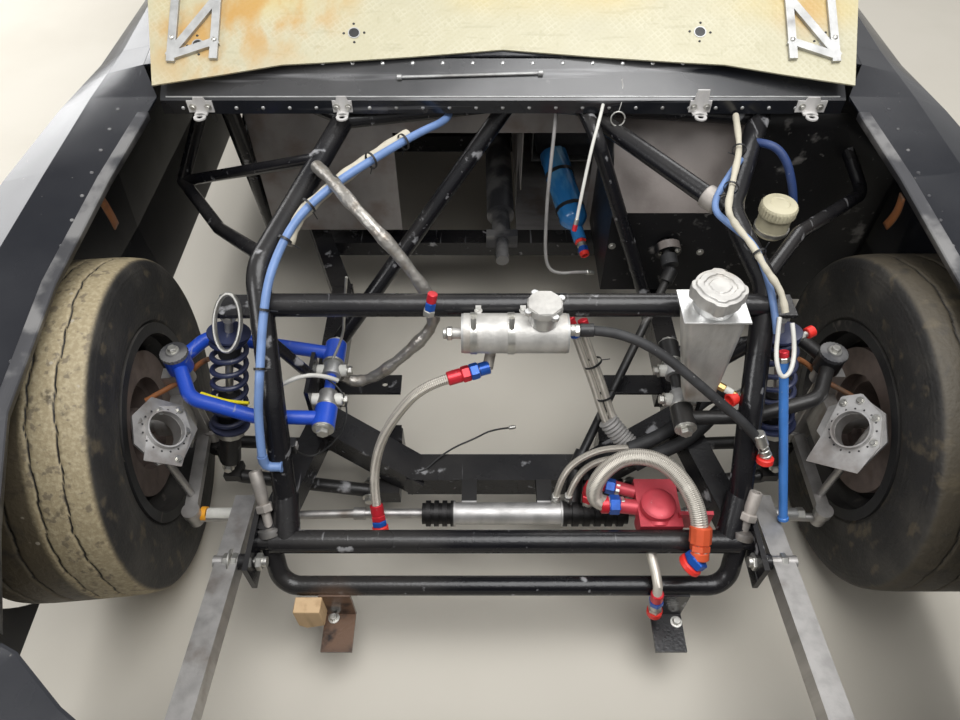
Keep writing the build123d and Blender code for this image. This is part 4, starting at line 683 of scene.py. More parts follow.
barb_path = BLUE[-1] + np.array([(0, 0, 0), (0, -3, -14), (3, -5, -24), (12, -6, -29),
    (32, -6, -29)]) / 1000
barb = [(drawn(barb_path, [0.0092, 0.0095, 0.0092, 0.0088, 0.0086], 18), pale_blue)]
barb += band(pale_blue, barb_path[-1] - (0.001, 0, 0), X, 5.5, 9.8, 3)
blue_ends = [build("blue_hose_barb", barb)]
free_cord("blue_line", BLUE, 0.016, pale_blue,
    "blue_hose")


# Tyres


def tyre(label, centre, turn, seed):
    """section smoothed by a running mean and carried round the wheel; four wavy grooves drop into its crown,
    each by depth * exp(-((x - its place) / width) ** 2)"""
    half = [(-120.5, 193), (-120.5, 211), (-125, 214), (-131, 236), (-134.8, 273), (-133.5, 300),
        (-130, 324), (-127, 335), (-122, 339.5), (-100, 343), (-70, 344.6), (0, 344.8)]
    line = np.array(half + [(-x, r) for x, r in half[-2::-1]])
    gone = np.r_[0, np.cumsum(np.linalg.norm(np.diff(line, axis=0), axis=1))]
    outer_steps, round_steps = 196, 220
    at = np.linspace(0, gone[-1], outer_steps)
    outer = np.stack([np.interp(at, gone, line[:, k]) for k in (0, 1)], 1)
    smooth = np.stack([np.convolve(np.pad(outer[:, k], 2, "edge"), np.ones(5) / 5, "valid")
        for k in (0, 1)], 1)
    smooth[:12], smooth[-12:] = outer[:12], outer[-12:]
    inner = np.array([(104, 194), (108, 218), (118, 240), (121, 273), (106, 318), (78, 328), (-78, 328),
        (-106, 318), (-121, 273), (-118, 240), (-108, 218), (-104, 194)])
    section = np.concatenate([smooth, inner])
    a = np.linspace(0, TURN, round_steps, endpoint=False)[None]
    x = np.repeat(section[:, :1], round_steps, 1)
    r = np.repeat(section[:, 1:], round_steps, 1)
    outside = (np.arange(len(section)) < outer_steps)[:, None]
    crown = np.clip((section[:, 1:] - 334) / 5, 0, 1) * outside + 0 * a
    groove = np.zeros_like(r)
    for k, place in enumerate((-78, -22, 35, 80)):
        wave = place + 2.6 * np.sin(9 * a + k + seed) + 1.4 * np.sin(31 * a + 2 * k + seed)
        wave += 0.8 * np.sin(67 * a + k)
        groove = np.maximum(groove, np.exp(-((x - wave) / 1.9) ** 2))
    groove *= crown
    scars = np.clip(np.sin(53 * a + 0.3 * x) * np.sin(17 * a - 0.2 * x) - 0.55, 0, 1)
    r = r - 5 * groove - 1.2 * crown * scars
    ridge = sum(np.exp(-((r - at) / 1.6) ** 2) for at in (231, 246, 262, 284, 290, 312, 319)) * (1 - crown)
    x = x + np.sign(x) * ridge * 0.9 * (np.abs(x) > 110)
    points = np.stack([x, r * np.cos(a), r * np.sin(a)], -1) / 1000 @ turn + centre
    shape = lattice(points, rows_meet=True, columns_meet=True)
    piece = build("tyre_worn_" + label, [(shape, tread)], "wheel_" + label, crease=60,
        stands_for=["tyre_" + label])
    worn = 1 if label == "front_right" else 0
    pale = worn * np.clip((x - 20) / 9, 0, 1) * np.clip((127 - x) / 8, 0, 1) * crown
    for name, values in (("crown", crown), ("groove", groove), ("pale", pale)):
        layer = piece.data.attributes.new(name, "FLOAT", "POINT")
        layer.data.foreach_set("value", values.astype(np.float32).ravel())


for seed, (label, side, centre, turn) in enumerate(WHEELS, 1):
    tyre(label, centre, turn, seed)


# Springs and dampers


def front_coil(side):
    """lower and upper end of a front spring"""
    return fwd((side * 592, -38, 236), (side * 520, 68, 608))


def coilover(low, top, coil, first, last, turns):
    """helix, centre + R (cos t, sin t) + pitch * t, round a damper of stepped body, collar and rod"""
    axis = unit(top - low)
    length = np.linalg.norm(top - low)
    side, rise = square_to(axis)
    t = np.linspace(0, turns * TURN, int(turns * 22))[:, None]
    climb = np.linspace(first + 0.010, last - 0.004, len(t))[:, None]
    helix = low + climb * axis + (coil - 0.0058) * (np.cos(t) * side + np.sin(t) * rise)
    body = turned([(0.021, 0.008), (0.0228, 0.014), (0.0228, length * 0.47), (0.0215, length * 0.49),
        (0.014, length * 0.50)], low, axis, 28)
    shaft = turned([(0.0078, length * 0.48), (0.0078, length * 0.93)], low, axis, 18)
    seats = [turned([(coil + 0.002, h), (coil + 0.003, h + 0.002), (coil + 0.003, h + 0.006),
        (0.020, h + 0.008)], low, axis, 32) for h in (first - 0.002, last)]
    collar = turned([(0.0236, first - 0.024), (0.031, first - 0.022), (0.031, first - 0.004),
        (0.0236, first - 0.002)], low, axis, 12)
    stop = turned([(0.020, last - 0.05), (0.024, last - 0.03), (0.020, last)], low, axis, 20)
    made = [(drawn(helix, 0.0055, 10, axis), spring_paint), (body, arm_black), (shaft, zinc),
        (collar, zinc), (stop, rubber)]
    made += [(seat, spring_paint) for seat in seats]
    for at in (low + axis * 0.006, top - axis * 0.012):
        made += lathe(steel, at, Y, 24, (13.5, -12), (15, -10), (15, 10), (13.5, 12))
    return made


corners = []
for side, _ in SIDES:
    corners += coilover(*front_coil(side), 0.038, 0.110, 0.335, 6.5)
    corners += coilover(*aft((side * 606, 92, 264), (side * 580, 96, 634)), 0.036, 0.120, 0.310, 6)
build("coil_springs_and_dampers", corners, stands_for=["coilovers"])


# Surge tank and catch tank

SURGE = front(0, -16, 632)
CATCH = front(352, -16, 0)


def surge_dress():
    """clamp bands and screws, end rings, filler neck with its lobed cap, end unions and saddle bolts"""
    made = []
    for x in (-0.058, 0.008):
        at = SURGE + (x, 0, 0)
        made += band(zinc, at, X, 36.4, 37.8, 12, 48)
        made += lathe(zinc, at + (0, -0.014, 0.0385), (0, 0.3, 1), 6, (5, -13), (5.5, -11), (5.5, 11),
            (5, 13))
    for x in (-0.077, 0.107):
        made += band(dull_aluminium, SURGE + (x, 0, 0), X, 20, 35.2, 6, 48)
    neck = SURGE + (0.064, 0, 0)
    made += lathe(aluminium, neck, Z, 40, (23, 30), (25.5, 32), (25.5, 60), (24, 63))
    made += lathe(tank_silver, neck, Z, 8, (29, 62), (32.5, 64), (32.5, 74), (30, 78), (12, 79.5))
    for a in np.arange(4) * TURN / 4 + 0.5:
        lobe = neck + 0.0335 * np.array([math.cos(a), math.sin(a), 0])
        made += lathe(aluminium, lobe, Z, 12, (6, 66), (6.5, 67), (6.5, 73), (6, 74))
    made += stack(SURGE - (0.096, 0, 0), SURGE - (0.2, 0, 0), (zinc, 10, 13, 6), (zinc, 7, 10, 24))
    made += stack(SURGE + (0.104, 0, 0.008), SURGE + (0.2, 0, 0.008), (zinc, 9, 13, 6), (zinc, 8, 10.5, 24))
    for x in (-0.050, 0.030):
        made += bolt(SURGE + (x, 0.030, 0.026), Z, 0.005)
    return made


def catch_dress():
    """filler neck and lobed cap with raised rings, top flange and the union on the side"""
    made = lathe(aluminium, CATCH, Z, 40, (34, 700), (35.5, 703), (35.5, 724))
    brim = ((0.99, 722), (1.0, 724), (1.0, 738), (0.99, 746.5), (0.86, 747.5), (0.82, 751), (0.60, 751.5),
        (0.57, 748.5), (0.42, 748.5), (0.38, 750.5), (0.1, 750.5))
    rows = [(42.5 * k, height, 4.2 * k) for k, height in brim]
    made.append((lobed(CATCH, rows, 96, lambda a: np.clip(np.cos(4 * a + 0.6) * 2.4 - 0.9, 0, 1)),
        tank_silver))
    made.append((slab(CATCH + (-0.057, -0.040, 0.6975), CATCH + (0.057, 0.040, 0.7015)), aluminium))
    return made + stack(front(398, -44, 520), front(430, -62, 512), (brass, 16, 8, 6),
        (white_hose, 16, 7, 20), (brass, 8, 6, 20))


build("surge_tank_bands_and_cap", surge_dress())
build("catch_tank_lid", catch_dress(), bevel=0.0012)


# Fittings with red and blue colours


def small_fittings():
    """capped ports, the filter's outlets and the hose ends at the left of the surge tank"""
    made = stack(front(236, -142, 304), front(190, -129, 304), (zinc, 10, 14, 6),
        (blue_anodised, 20, 16, 6), (red_anodised, 14, 14, 24))
    bend = fwd((206, -133, 304), (190, -129, 303), (180, -128, 296), (176, -130, 282), (177, -134, 266))
    made.append((drawn(bend, 0.0118, 18), red_anodised))
    made += stack(front(177, -134, 270), front(178, -140, 240), (red_anodised, 20, 14.5, 6),
        (braid, 30, 11, 24))
    made += lathe(filter_red, front(300, -192, 318), Z, 40, (30, 0), (33.5, 2), (33.5, 16), (28, 20),
        (12, 21))
    made += stack(front(300, -213, 300), front(300, -240, 292), (filter_red, 14, 26, 36))
    hanger = fwd((284, -262, 276), (287, -280, 268), (290, -304, 264), (292, -326, 256), (292, -335, 240))
    made.append((drawn(hanger, 0.0095, 14), braid))
    made += stack(hanger[-1] + (0, 0, 0.004), hanger[-1] + (0.008, -0.006, -0.08),
        (red_anodised, 24, 12.5, 24), (blue_anodised, 16, 14.5, 6), (zinc, 16, 12, 24), (zinc, 12, 14, 6),
        (red_plastic, 16, 15.5, 24, True))
    made += stack(front(-138, 0, 662), front(-122, 16, 735), (zinc, 12, 11, 6), (blue_anodised, 16, 10, 6),
        (red_anodised, 18, 9, 24))
    for at, to, r in (((560, 40, 556), (600, 60, 560), 9), ((452, -50, 506), (428, -64, 504), 11)):
        made += stack(front(*at), front(*to), (zinc, 14, r * 0.85, 6), (zinc, 8, r * 0.7, 20),
            (red_plastic, 16, r * 1.25, 24, True))
    return made


build("bay_fittings", small_fittings())


# Places on the CAD surfaces, met by a ray or seen at a pixel of the photograph

TREES = {}


def cast(node, start, direction):
    """first point of a CAD node met by a ray, with its normal, or None"""
    if node not in TREES:
        TREES[node] = BVHTree.FromObject(nodes[node], bpy.context.evaluated_depsgraph_get())
    at, normal = TREES[node].ray_cast(Vector(start), Vector(direction))[:2]
    return None if at is None else (np.array(at), np.array(normal))


def pixel_ray(px, py):
    """direction in which the camera looks through a pixel"""
    u, v = (px - CENTRE_X) / FOCAL, (py - CENTRE_Y) / FOCAL
    return np.array([u, SIN_TILT - COS_TILT * v, -COS_TILT - SIN_TILT * v])


def seen(node, px, py):
    """place on a CAD node that the camera sees at a pixel"""
    return cast(node, camera.location, pixel_ray(px, py))


def facing(hit, way, least):
    """what a ray met, if its face looks along a way by at least a cosine"""
    return hit if hit and hit[1] @ way > least else None


def rivet(hit, radius, finish, sides=10):
    """one rivet head sunk a little into what a ray met, or nothing"""
    return [(dome(hit[0] - hit[1] * RIVET_SUNK, hit[1], radius, sides), finish)] if hit else []


def bolted(hit, *form):
    """one bolt on what a ray met, or nothing"""
    return bolt(*hit, *form) if hit else []


def studs(node, pixels, *form):
    """bolts on a node at pixels"""
    return [part for pixel in pixels for part in bolted(seen(node, *pixel), *form)]


# Ball joints, bushes, knuckle and steering details


def arm_details(side):
    """cap on the upper ball joint, bush washers and bolts, white spacers with their bolts"""
    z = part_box("upper_arm_left" if side > 0 else "upper_arm_right")[1][2] - 0.0005
    cup = front(side * 650, 45, 0) + (0, 0, z)
    rows = ((26.5, 0, 0), (26.5, 1, 0.9), (26.5, 8, 0.9), (22, 9, 0.4), (15, 9.5, 0), (13, 12, 0),
        (3, 12.5, 0))
    made = [(lobed(cup, rows, 72, lambda a: np.cos(24 * a)), scuffed)]
    made += bolt(cup + (0, 0, 0.012), Z, 0.0085)
    for y, z, face in ((-84, 434, -1), (124, 440, 1), (-36, 434, 1), (76, 440, -1)):
        at = front(side * 350, y, z)
        made += lathe(zinc, at, (0, face, 0), 36, (20.5, -1), (21.5, 0), (21.5, 2.5), (20.5, 3.5),
            (11, 3.5))
        if (y, face) in ((-84, -1), (124, 1)):
            made += bolt(at + (0, face * 0.003, 0), (0, face, 0), 0.0125, 0.009)
    for y, z in ((-16, 436), (56, 438)):
        at = front(side * 350, y, z)
        for way in (-1, 1):
            made += lathe(white_hose, at, (way, 0, 0), 24, (9.2, 12), (12.5, 13), (12.5, 30), (9, 31))
            made += bolt(at + (way * 0.030, 0, 0), (way, 0, 0), 0.0095, 0.009)
        made += lathe(dull_aluminium, at, Y, 30, (18.5, -16), (19.5, -14), (19.5, 14), (18.5, 16))
    return made


def lower_bolts(side):
    """bolts at the lower arm's bushes and at both ends of the front spring"""
    made = []
    for x, y, z in ((294, -58, 150), (290, 60, 151)):
        for way in (-1, 1):
            made += bolted(cast("lower_arms", front(side * x, y + way * 90, z), (0, -way, 0)), 0.011)
    low, top = front_coil(side)
    for at, way in ((top + (0, 0.0145, -0.008), 1), (top + (0, -0.0145, -0.008), -1),
            (low + (0, -0.0135, 0.004), -1)):
        made += bolt(at, (0, way, 0), 0.009)
    return made


for side, label in SIDES:
    build("upper_arm_hardware_" + label, arm_details(side))
    build("lower_arm_bolts_" + label, lower_bolts(side))


def sheet_with_bore(origin, normal, corners, bore, thick):
    """flat sheet between a round bore and a straight-sided outline, each of them once below and once above"""
    across, up = square_to(normal)
    flat = np.stack([(corners - origin) @ across, (corners - origin) @ up], 1)
    turn = np.linspace(0, TURN, 120, endpoint=False)
    way = np.stack([np.cos(turn), np.sin(turn)], 1)
    p, q = flat, np.roll(flat, -1, 0)
    edge = q - p
    cross = way[:, None, 0] * edge[None, :, 1] - way[:, None, 1] * edge[None, :, 0]
    far = (p[None, :, 0] * edge[None, :, 1] - p[None, :, 1] * edge[None, :, 0]) / cross
    share = (p[None, :, 0] * way[:, None, 1] - p[None, :, 1] * way[:, None, 0]) / cross
    reach = np.where((far > 0) & (share >= 0) & (share <= 1), far, np.inf).min(1)
    spoke = way[:, :1] * across + way[:, 1:] * up
    low = origin + normal * 0.0006
    inside, outside = low + bore * spoke, low + reach[:, None] * spoke
    rows = [inside, outside, outside + normal * thick, inside + normal * thick]
    return lattice(np.array(rows), rows_meet=True, columns_meet=True)


DUCT_PIXELS = {1: [(842, 397), (863, 394), (883, 416), (880, 447), (858, 474), (806, 461), (822, 436)],
    -1: [(158, 407), (182, 406), (191, 432), (181, 467), (143, 461), (147, 424)]}


def duct_ring(side):
    """plate and raised ring round the duct's bore, small bolts round it, bolt heads near four corners"""
    centre = front(side * 662, -104, 452)
    normal = unit((side * -0.72, -0.10, 0.68))
    if side < 0:
        centre, normal = toed(centre), normal @ TOE_TURN
    across, up = square_to(normal)
    knuckle = "knuckle_left" if side > 0 else "knuckle_right"
    hit = cast(knuckle, centre + 0.045 * across + normal * 0.06, -normal)
    face = centre + normal * ((hit[0] - centre) @ normal)
    eye = np.array(camera.location)
    rays = [pixel_ray(*pixel) for pixel in DUCT_PIXELS[side]]
    corners = np.array([eye + ray * (((face - eye) @ normal) / (ray @ normal)) for ray in rays])
    made = [(sheet_with_bore(face, normal, corners, 0.0375, 0.0024), painted_plate)]
    made += band(painted_plate, face + normal * 0.0045, normal, 34.5, 37.5, 17, 56)
    for a in np.arange(16) * TURN / 16 + 0.2:
        spot = face + 0.0432 * (math.cos(a) * across + math.sin(a) * up) + normal * 0.003
        made.append((dome(spot, normal, 0.0021, 8), black_plastic))
    for corner in corners[:4]:
        made += bolt(corner * 0.80 + face * 0.20 + normal * 0.003, normal, 0.0055, 0.004)
    return made


for side, label in SIDES:
    build("brake_duct_" + label, duct_ring(side), "knuckle_" + label)


# Tie rods: rubber boots, sleeve and collar on the sliding bar

sleeves = lathe(white_hose, front(-619, -151, 215), X, 28, (12.5, 0), (13, 2), (13, 80), (12.5, 82))
sleeves += band(amber, front(-626, -151, 215), X, 10.5, 15.5, 11)
sleeves += lathe(dull_aluminium, front(547, -151, 215), X, 28, (12.5, 0), (13, 2), (13, 70), (12.5, 72))
for x in (-531, 537, 625):
    sleeves += lathe(zinc, front(x, -151, 215), X, 6, (13, -8), (14, -7), (14, 7), (13, 8))
build("tie_rod_sleeves", sleeves, "rack")


# Frame: studs, through bolts, wood block, hanging plates


def bumper_bolts():
    """grey studs with their nuts and feet, and the long bolts through the outer brackets"""
    made = []
    for start, tip in (((-474, -160, 402), (-450, -238, 318)), ((474, -196, 385), (456, -244, 318))):
        start, tip = fwd(start, tip)
        axis = unit(start - tip)
        long = np.linalg.norm(start - tip) * 1000
        made += lathe(stud_grey, tip, axis, 28, (8.5, -6), (8.5, long * 0.42), (10.5, long * 0.44),
            (12.5, long * 0.60), (12.5, long - 2), (11.5, long), (7, long), (6.5, long - 20))
        made.append((hexagon(tip + axis * long * 0.30 / 1000, axis, 0.0165, 0.016), stud_grey))
        made += lathe(steel, tip, axis, 28, (22, -12), (23, -10), (23, 2), (12, 4))
    for x0, x1 in ((-536, -448), (458, 538)):
        long = x1 - x0
        made += lathe(zinc, front(x0, -296, 300), X, 24, (9.5, 0), (10, 1), (10, long), (9.5, long))
        made += [(hexagon(front(x, -296, 300), X, 0.0165, 0.012), zinc) for x in (x0 + 6, x0 + 22, x1 - 20)]
        made += band(zinc, front(x0 + 20, -296, 300), X, 10, 24, 3)
    return made


build("bumper_bolts", bumper_bolts())

block = fwd((-406, -330.2, 216), (-354, -330.2, 216), (-354, -330.2, 148), (-392, -330.2, 134),
    (-406, -330.2, 148))
build("wood_block", [(plate(block, np.array([-0.002, -0.030, -0.004])), pale_wood)], bevel=0.002)

HANGING_PLATE_PIXELS = (268, 598), (334, 618), (308, 652), (676, 622), (716, 622), (702, 660)
build("hanging_plate_bolts", studs("front_clip", HANGING_PLATE_PIXELS, 0.008))


# Cowl: brackets, rivets, edge, rod and a lanyard


def clip(x, wide, tab, tall):
    """pin bracket on the cowl's front lip: a plate with a tab, a forward flange with an eye, two bolts"""
    face = (cast("cowl_panel", front(x, 300, 783), Y)[0][1] - FRONT_AXLE) * 1000 - 1.5
    low, top = 772, 797.2
    outline = fwd((x - wide, face, low), (x + wide, face, low), (x + wide, face, top),
        (x + tab, face, top), (x + tab * 0.8, face, top + tall), (x - tab * 0.8, face, top + tall),
        (x - tab, face, top), (x - wide, face, top))
    # plate, flange and eye take the brightened copy of aluminium, which is painted light
    made = [(plate(outline, np.array([0, -0.003, 0])), lit_clip_silver)]
    made.append((slab(front(x - tab, face - 14.5, 770.5), front(x + tab, face, 773.5)), lit_clip_silver))
    made += band(lit_clip_silver, front(x, face - 22.5, 772), Z, 6.2, 12.5, 3)
    for dx in (-0.6, 0.6):
        made += bolt(front(x + dx * wide, face - 2.9, 784), (0, -1, 0), 0.005, 0.004)
    return made


cowl_parts = clip(-622, 26, 13, 8) + clip(-330, 20, 12, 10) + clip(406, 22, 15, 24) + clip(634, 30, 15, 8)
for x in range(-660, 661, 55):
    cowl_parts += rivet(cast("cowl_panel", front(x, 300, 779), Y), 0.0042, dull_aluminium)
for x in range(-620, 621, 62):
    cowl_parts += rivet(cast("cowl_panel", (x / 1000, -0.846, 1), DOWN), 0.005, aluminium)
build("cowl_brackets_and_rivets", cowl_parts)

edge_hits = [cast("cowl_panel", front(x, 484, 900), DOWN) for x in np.linspace(-690, 690, 24)]
bead = np.array([hit[0] for hit in edge_hits if hit]) - (0, 0.0006, 0)
build("cowl_edge", [(drawn(bead, 0.0016, 8, Z), aluminium)])

ROD_PIXELS = (402, 79), (538, 75)
ROD_END = (dull_aluminium, 10, 6, 16)
a, b = [seen("cowl_panel", *pixel)[0] + (0, 0, 0.004) for pixel in ROD_PIXELS]
rod_ends = stack(a, a + (a - b), ROD_END) + stack(b, b + (b - a), ROD_END)
build("cowl_rod", [(drawn(np.linspace(a, b, 5), 0.0032, 10), dull_aluminium)] + rod_ends)

LANYARD_PIXEL = (622, 79)


def lanyard(name, pixel, middle, radius):
    """split ring on a short wire tied to the cowl"""
    tall = np.array([0, 0.3, 0.95])
    a = np.linspace(0, TURN * 0.98, 30)[:, None]
    loop = middle + radius * (np.cos(a) * np.array(X) + np.sin(a) * tall)
    slack = np.sin(np.linspace(0, math.pi, 9))[:, None] * np.array([0.004, -0.006, 0.0])
    strand = np.linspace(middle + radius * tall, seen("cowl_panel", *pixel)[0], 9) + slack
    build(name, [(drawn(loop, 0.0017, 8, (0, -0.95, 0.3)), zinc), (drawn(strand, 0.0009, 8), zinc)])


lanyard("lanyard_ring_left", LANYARD_PIXEL, front(238, 462, 764), 0.0145)


# Fender edges, straps and the sheet behind the left wheel


def inner_flange(side):
    """strip along a fender's inner edge, each row leaning from the edge towards the crown of the fender"""
    rows = [(-560, (672, 636), (800, 630)), (-420, (715, 672), (830, 676)), (-250, (752, 712), (855, 735)),
        (0, (763, 738), (865, 766)), (250, (742, 770), (855, 784)), (440, (712, 798), (844, 799))]
    y = np.array([r[0] for r in rows], float)
    inner = np.array([r[1] for r in rows], float)
    away = unit(np.array([r[2] for r in rows], float) - inner)
    at = np.linspace(-545, 430, 60)
    edge = np.stack([np.interp(at, y, inner[:, k]) for k in (0, 1)], 1)
    lean = np.stack([np.interp(at, y, away[:, k]) for k in (0, 1)], 1)
    lines = []
    for reach, lift in ((-1, -14), (-2.2, 0.5), (-0.5, 2.0), (19, 1.9), (20, 0.4)):
        p = edge + lean * reach + np.stack([-lean[:, 1], lean[:, 0]], 1) * lift
        lines.append(np.stack([side * p[:, 0], at, p[:, 1]], 1))
    return np.array(lines) / 1000 + (0, FRONT_AXLE, 0)


for side, label in SIDES:
    build("fender_edge_" + label, [(lattice(inner_flange(side)), scuffed)], wall=0.0012)
    rivets = []
    for y in range(-520, 441, 60):
        x = side * (775 if y > -420 else 720)
        rivets += rivet(cast("fender_" + label, front(x, y, 1000), DOWN), 0.0038, scuffed)
    build("fender_rivets_" + label, rivets)

for name, top, bottom in (("strap_right", (-788, 268, 716), (-810, 310, 606)),
        ("strap_left", (775, 268, 716), (804, 310, 606))):
    bulge = np.sin(np.linspace(0, math.pi, 12))[:, None] * np.array([0.004, -0.004, 0])
    line = np.linspace(*fwd(top, bottom), 12) + bulge
    build(name, [(lattice(np.stack([line - (0, 0.011, 0), line + (0, 0.011, 0)])), strap_brown)],
        wall=0.003)


def well_sheet():
    """thin sheet behind the left wheel: its inner edge rolls back by 7 * (1 - cos) over the last 12 mm,
    and its top edge falls away towards the fender"""
    x = np.concatenate([np.linspace(556, 566, 10), np.linspace(574, 925, 24)])
    z = np.linspace(0, 1, 16)
    roll = np.where(x < 568, 7 * (1 - np.cos((568 - x) / 12 * math.pi / 2)), 0)
    u, v = np.meshgrid(x, z)
    v = 180 + v * (562 - 0.7 * np.clip(u - 742, 0, None))
    depth = 520 + roll + 1.5 * np.sin(u / 47) * np.sin(v / 61)
    return np.stack([u, depth, v], -1) / 1000 + (0, FRONT_AXLE, 0)


build("wheel_well_sheet", [(lattice(well_sheet()), box_black)], wall=0.0016)


# Right side of the bay: ring, looms, wires


def oval_ring():
    """plated oval hoop, its section drawn out along the hoop's own axis"""
    a = np.linspace(0, TURN, 48, endpoint=False)[:, None]
    b = np.arange(10)[None, :, None] * TURN / 10
    flat = unit((0, -0.69, 0.72))
    tall = unit((0.05, 0.72, 0.69))
    loop = front(-512, 28, 612) + 0.024 * np.cos(a) * np.array(X) + 0.053 * np.sin(a) * tall
    side_way = unit(np.cross(np.roll(loop, -1, 0) - np.roll(loop, 1, 0), (0, -0.69, 0.72)))
    tube = loop[:, None] + 0.0042 * (np.cos(b) * side_way[:, None] + 1.6 * np.sin(b) * flat)
    return lattice(tube, rows_meet=True, columns_meet=True)


build("oval_ring", [(oval_ring(), zinc)])


def crumple(name, points, radius, finish):
    """wrinkled sleeve on a smoothed path: radius * (1 + 0.10 sin + 0.07 sin of the way along)"""
    path = np.asarray(points)
    t = np.linspace(0, len(path) - 1, 60)
    line = np.stack([np.interp(t, np.arange(len(path)), path[:, k]) for k in range(3)], 1)
    kernel = np.hanning(11) / np.hanning(11).sum()
    line = np.stack([np.convolve(np.pad(line[:, k], 5, "edge"), kernel, "valid") for k in range(3)], 1)
    r = radius * (1 + 0.10 * np.sin(t * 5.1) + 0.07 * np.sin(t * 11.7 + 1))
    return build(name, [(drawn(line, r, 14), finish)])


crumple("foil_loom", fwd((-372, 330, 744), (-330, 258, 764), (-266, 156, 768), (-202, 120, 708),
    (-146, 94, 625), (-134, 82, 585), (-141, 72, 546), (-198, 60, 483), (-262, 58, 415), (-312, 56, 398),
    (-334, 56, 424)), 0.012, foil)

crumple("cream_sleeve_left", fwd((486, 486, 765), (464, 351, 768), (431, 258, 765), (401, 171, 758),
    (420, 155, 735), (445, 115, 722), (459, 61, 712), (484, 33, 690), (494, 2, 660)), 0.0062, cream_wrap)
crumple("cream_sleeve_right", fwd((-190, 420, 756), (-262, 345, 752), (-330, 262, 744), (-384, 196, 726),
    (-404, 140, 702)), 0.0115, cream_wrap)


plug = build("wire_connector", [(slab(front(-424, -116, 392), front(-404, -94, 418)), black_plastic),
    (slab(front(-427, -111, 397), front(-401, -99, 413)), wire_grey)], bevel=0.0015)
free_cord("bay_wire_a", fwd((-350, 14, 462), (-330, 0, 462), (-312, -20, 440), (-312, -52, 404),
    (-340, -78, 372), (-380, -96, 350), (-402, -104, 372), (-412, -105, 394)), 0.0035, wire_black,
    sides=3)
lug = build("wire_lug", lathe(zinc, front(18, 54, 235), (1, 0.2, 0), 12, (3, 0), (4.5, 2), (4.5, 14),
    (3, 16)))
free_cord("loose_wire", fwd((-180, -52, 222), (-167, -50, 222), (-140, -20, 226), (-103, 8, 228),
    (-60, 26, 232), (-20, 48, 238), (18, 54, 235)), 0.004, wire_black, sides=3)

flex("white_line", fwd((-330, 14, 458), (-352, 14, 474), (-392, 6, 486), (-432, -4, 474),
    (-462, -10, 452)), 0.009, white_hose)
flex("brake_line_right", fwd((-300, 120, 640), (-315, 110, 560), (-322, 92, 500), (-345, 60, 470)), 0.0055,
    zinc, 3)
BRAKE_HOSE = fwd((596, 60, 470), (622, 66, 452), (650, 40, 430), (690, 20, 420), (726, 0, 410))
for side, label in SIDES[::-1]:
    flex("brake_hose_" + label, BRAKE_HOSE * (side, 1, 1), 0.011, strap_brown)
flex("marker_tube", fwd((-601, -8, 446), (-570, -20, 446), (-536, -30, 446), (-500, -34, 448)), 0.007,
    yellow, 3)
build("green_tag", lathe(green, front(-462, 82, 458), (0.5, 0.1, 1), 20, (6, 0), (8.5, 2), (8.5, 26),
    (6, 28)))


# Left side of the bay: cables, hoses and tanks

flex("navy_hose", fwd((517, 411, 742), (534, 398, 748), (556, 384, 744), (574, 366, 726), (586, 350, 700),
    (598, 338, 668), (604, 326, 640)), 0.017, navy_rubber)
flex("blue_hose_left", fwd((470, 346, 745), (432, 290, 745), (388, 216, 728), (418, 172, 722),
    (453, 137, 712), (470, 84, 690), (480, 29, 660), (486, -10, 624)), 0.013, pale_blue)
flex("hose_large_a", fwd((262, -58, 322), (292, -50, 330), (344, -29, 342), (386, 4, 350), (421, 34, 362),
    (446, 40, 376), (466, 38, 392)), 0.028, rubber)
flex("hose_large_b", fwd((270, -92, 312), (300, -78, 322), (367, -54, 332), (410, -24, 342), (446, 8, 352),
    (470, 24, 366)), 0.028, rubber)

hard_tube = np.linspace(*fwd((498, -50, 592), (546, -206, 308)), 12)
high_union = stack(hard_tube[0], hard_tube[0] * 2 - hard_tube[1], (zinc, 10, 10, 6),
    (red_anodised, 12, 9, 24))
low_union = stack(hard_tube[-1], hard_tube[-1] * 2 - hard_tube[-2], (blue_tube, 8, 10.5, 20))
build("blue_hard_tube", [(drawn(hard_tube, 0.0085, 18), blue_tube)] + high_union + low_union)
flex("white_loop", fwd((486, 4, 652), (482, -15, 640), (474, -60, 612), (484, -88, 590), (503, -76, 598),
    (513, -36, 620), (508, -4, 646)), 0.008, white_hose)

grey_end = build("grey_cable_end", stack(front(212, 418, 374), front(232, 428, 364), (zinc, 10, 7, 6),
    (zinc, 14, 5.5, 16)))
free_cord("grey_cable", fwd((115, 520, 764), (114, 500, 740), (106, 450, 640), (104, 440, 575),
    (106, 410, 440), (118, 398, 400), (150, 398, 388), (182, 404, 388), (215, 420, 373)), 0.008, wire_grey,
    sides=5)
pull_end = build("pull_cable_end", stack(front(157, 325, 613), front(150, 310, 576), (zinc, 12, 5, 20),
    (red_anodised, 14, 5.5, 6)))
free_cord("pull_cable", fwd((206, 477, 787), (196, 436, 782), (182, 400, 746), (171, 366, 702),
    (162, 340, 650), (156, 322, 605)), 0.007, white_hose,
    sides=5)

pair = fwd((142, 84, 520), (156, 68, 486), (188, 40, 411), (208, 16, 356), (226, -8, 322), (240, -22, 310))
UNION = (blue_anodised, 14, 11.5, 6)
union_a = stack(pair[0] + (0.004, -0.004, -0.004), pair[0] + (-0.03, 0.03, 0.06), UNION,
    (red_anodised, 22, 10.5, 24), (red_anodised, 8, 12, 24, True))
union_b = stack(pair[0] + (0.024, 0.000, -0.004), pair[0] + (0.0, 0.034, 0.06), UNION,
    (red_anodised, 20, 10.5, 24))
build("braided_pair_ends", union_a + union_b)
flex("braided_pair_a", pair, 0.016, braid)
flex("braided_pair_b", pair + (0.019, -0.002, 0.0), 0.016, braid)

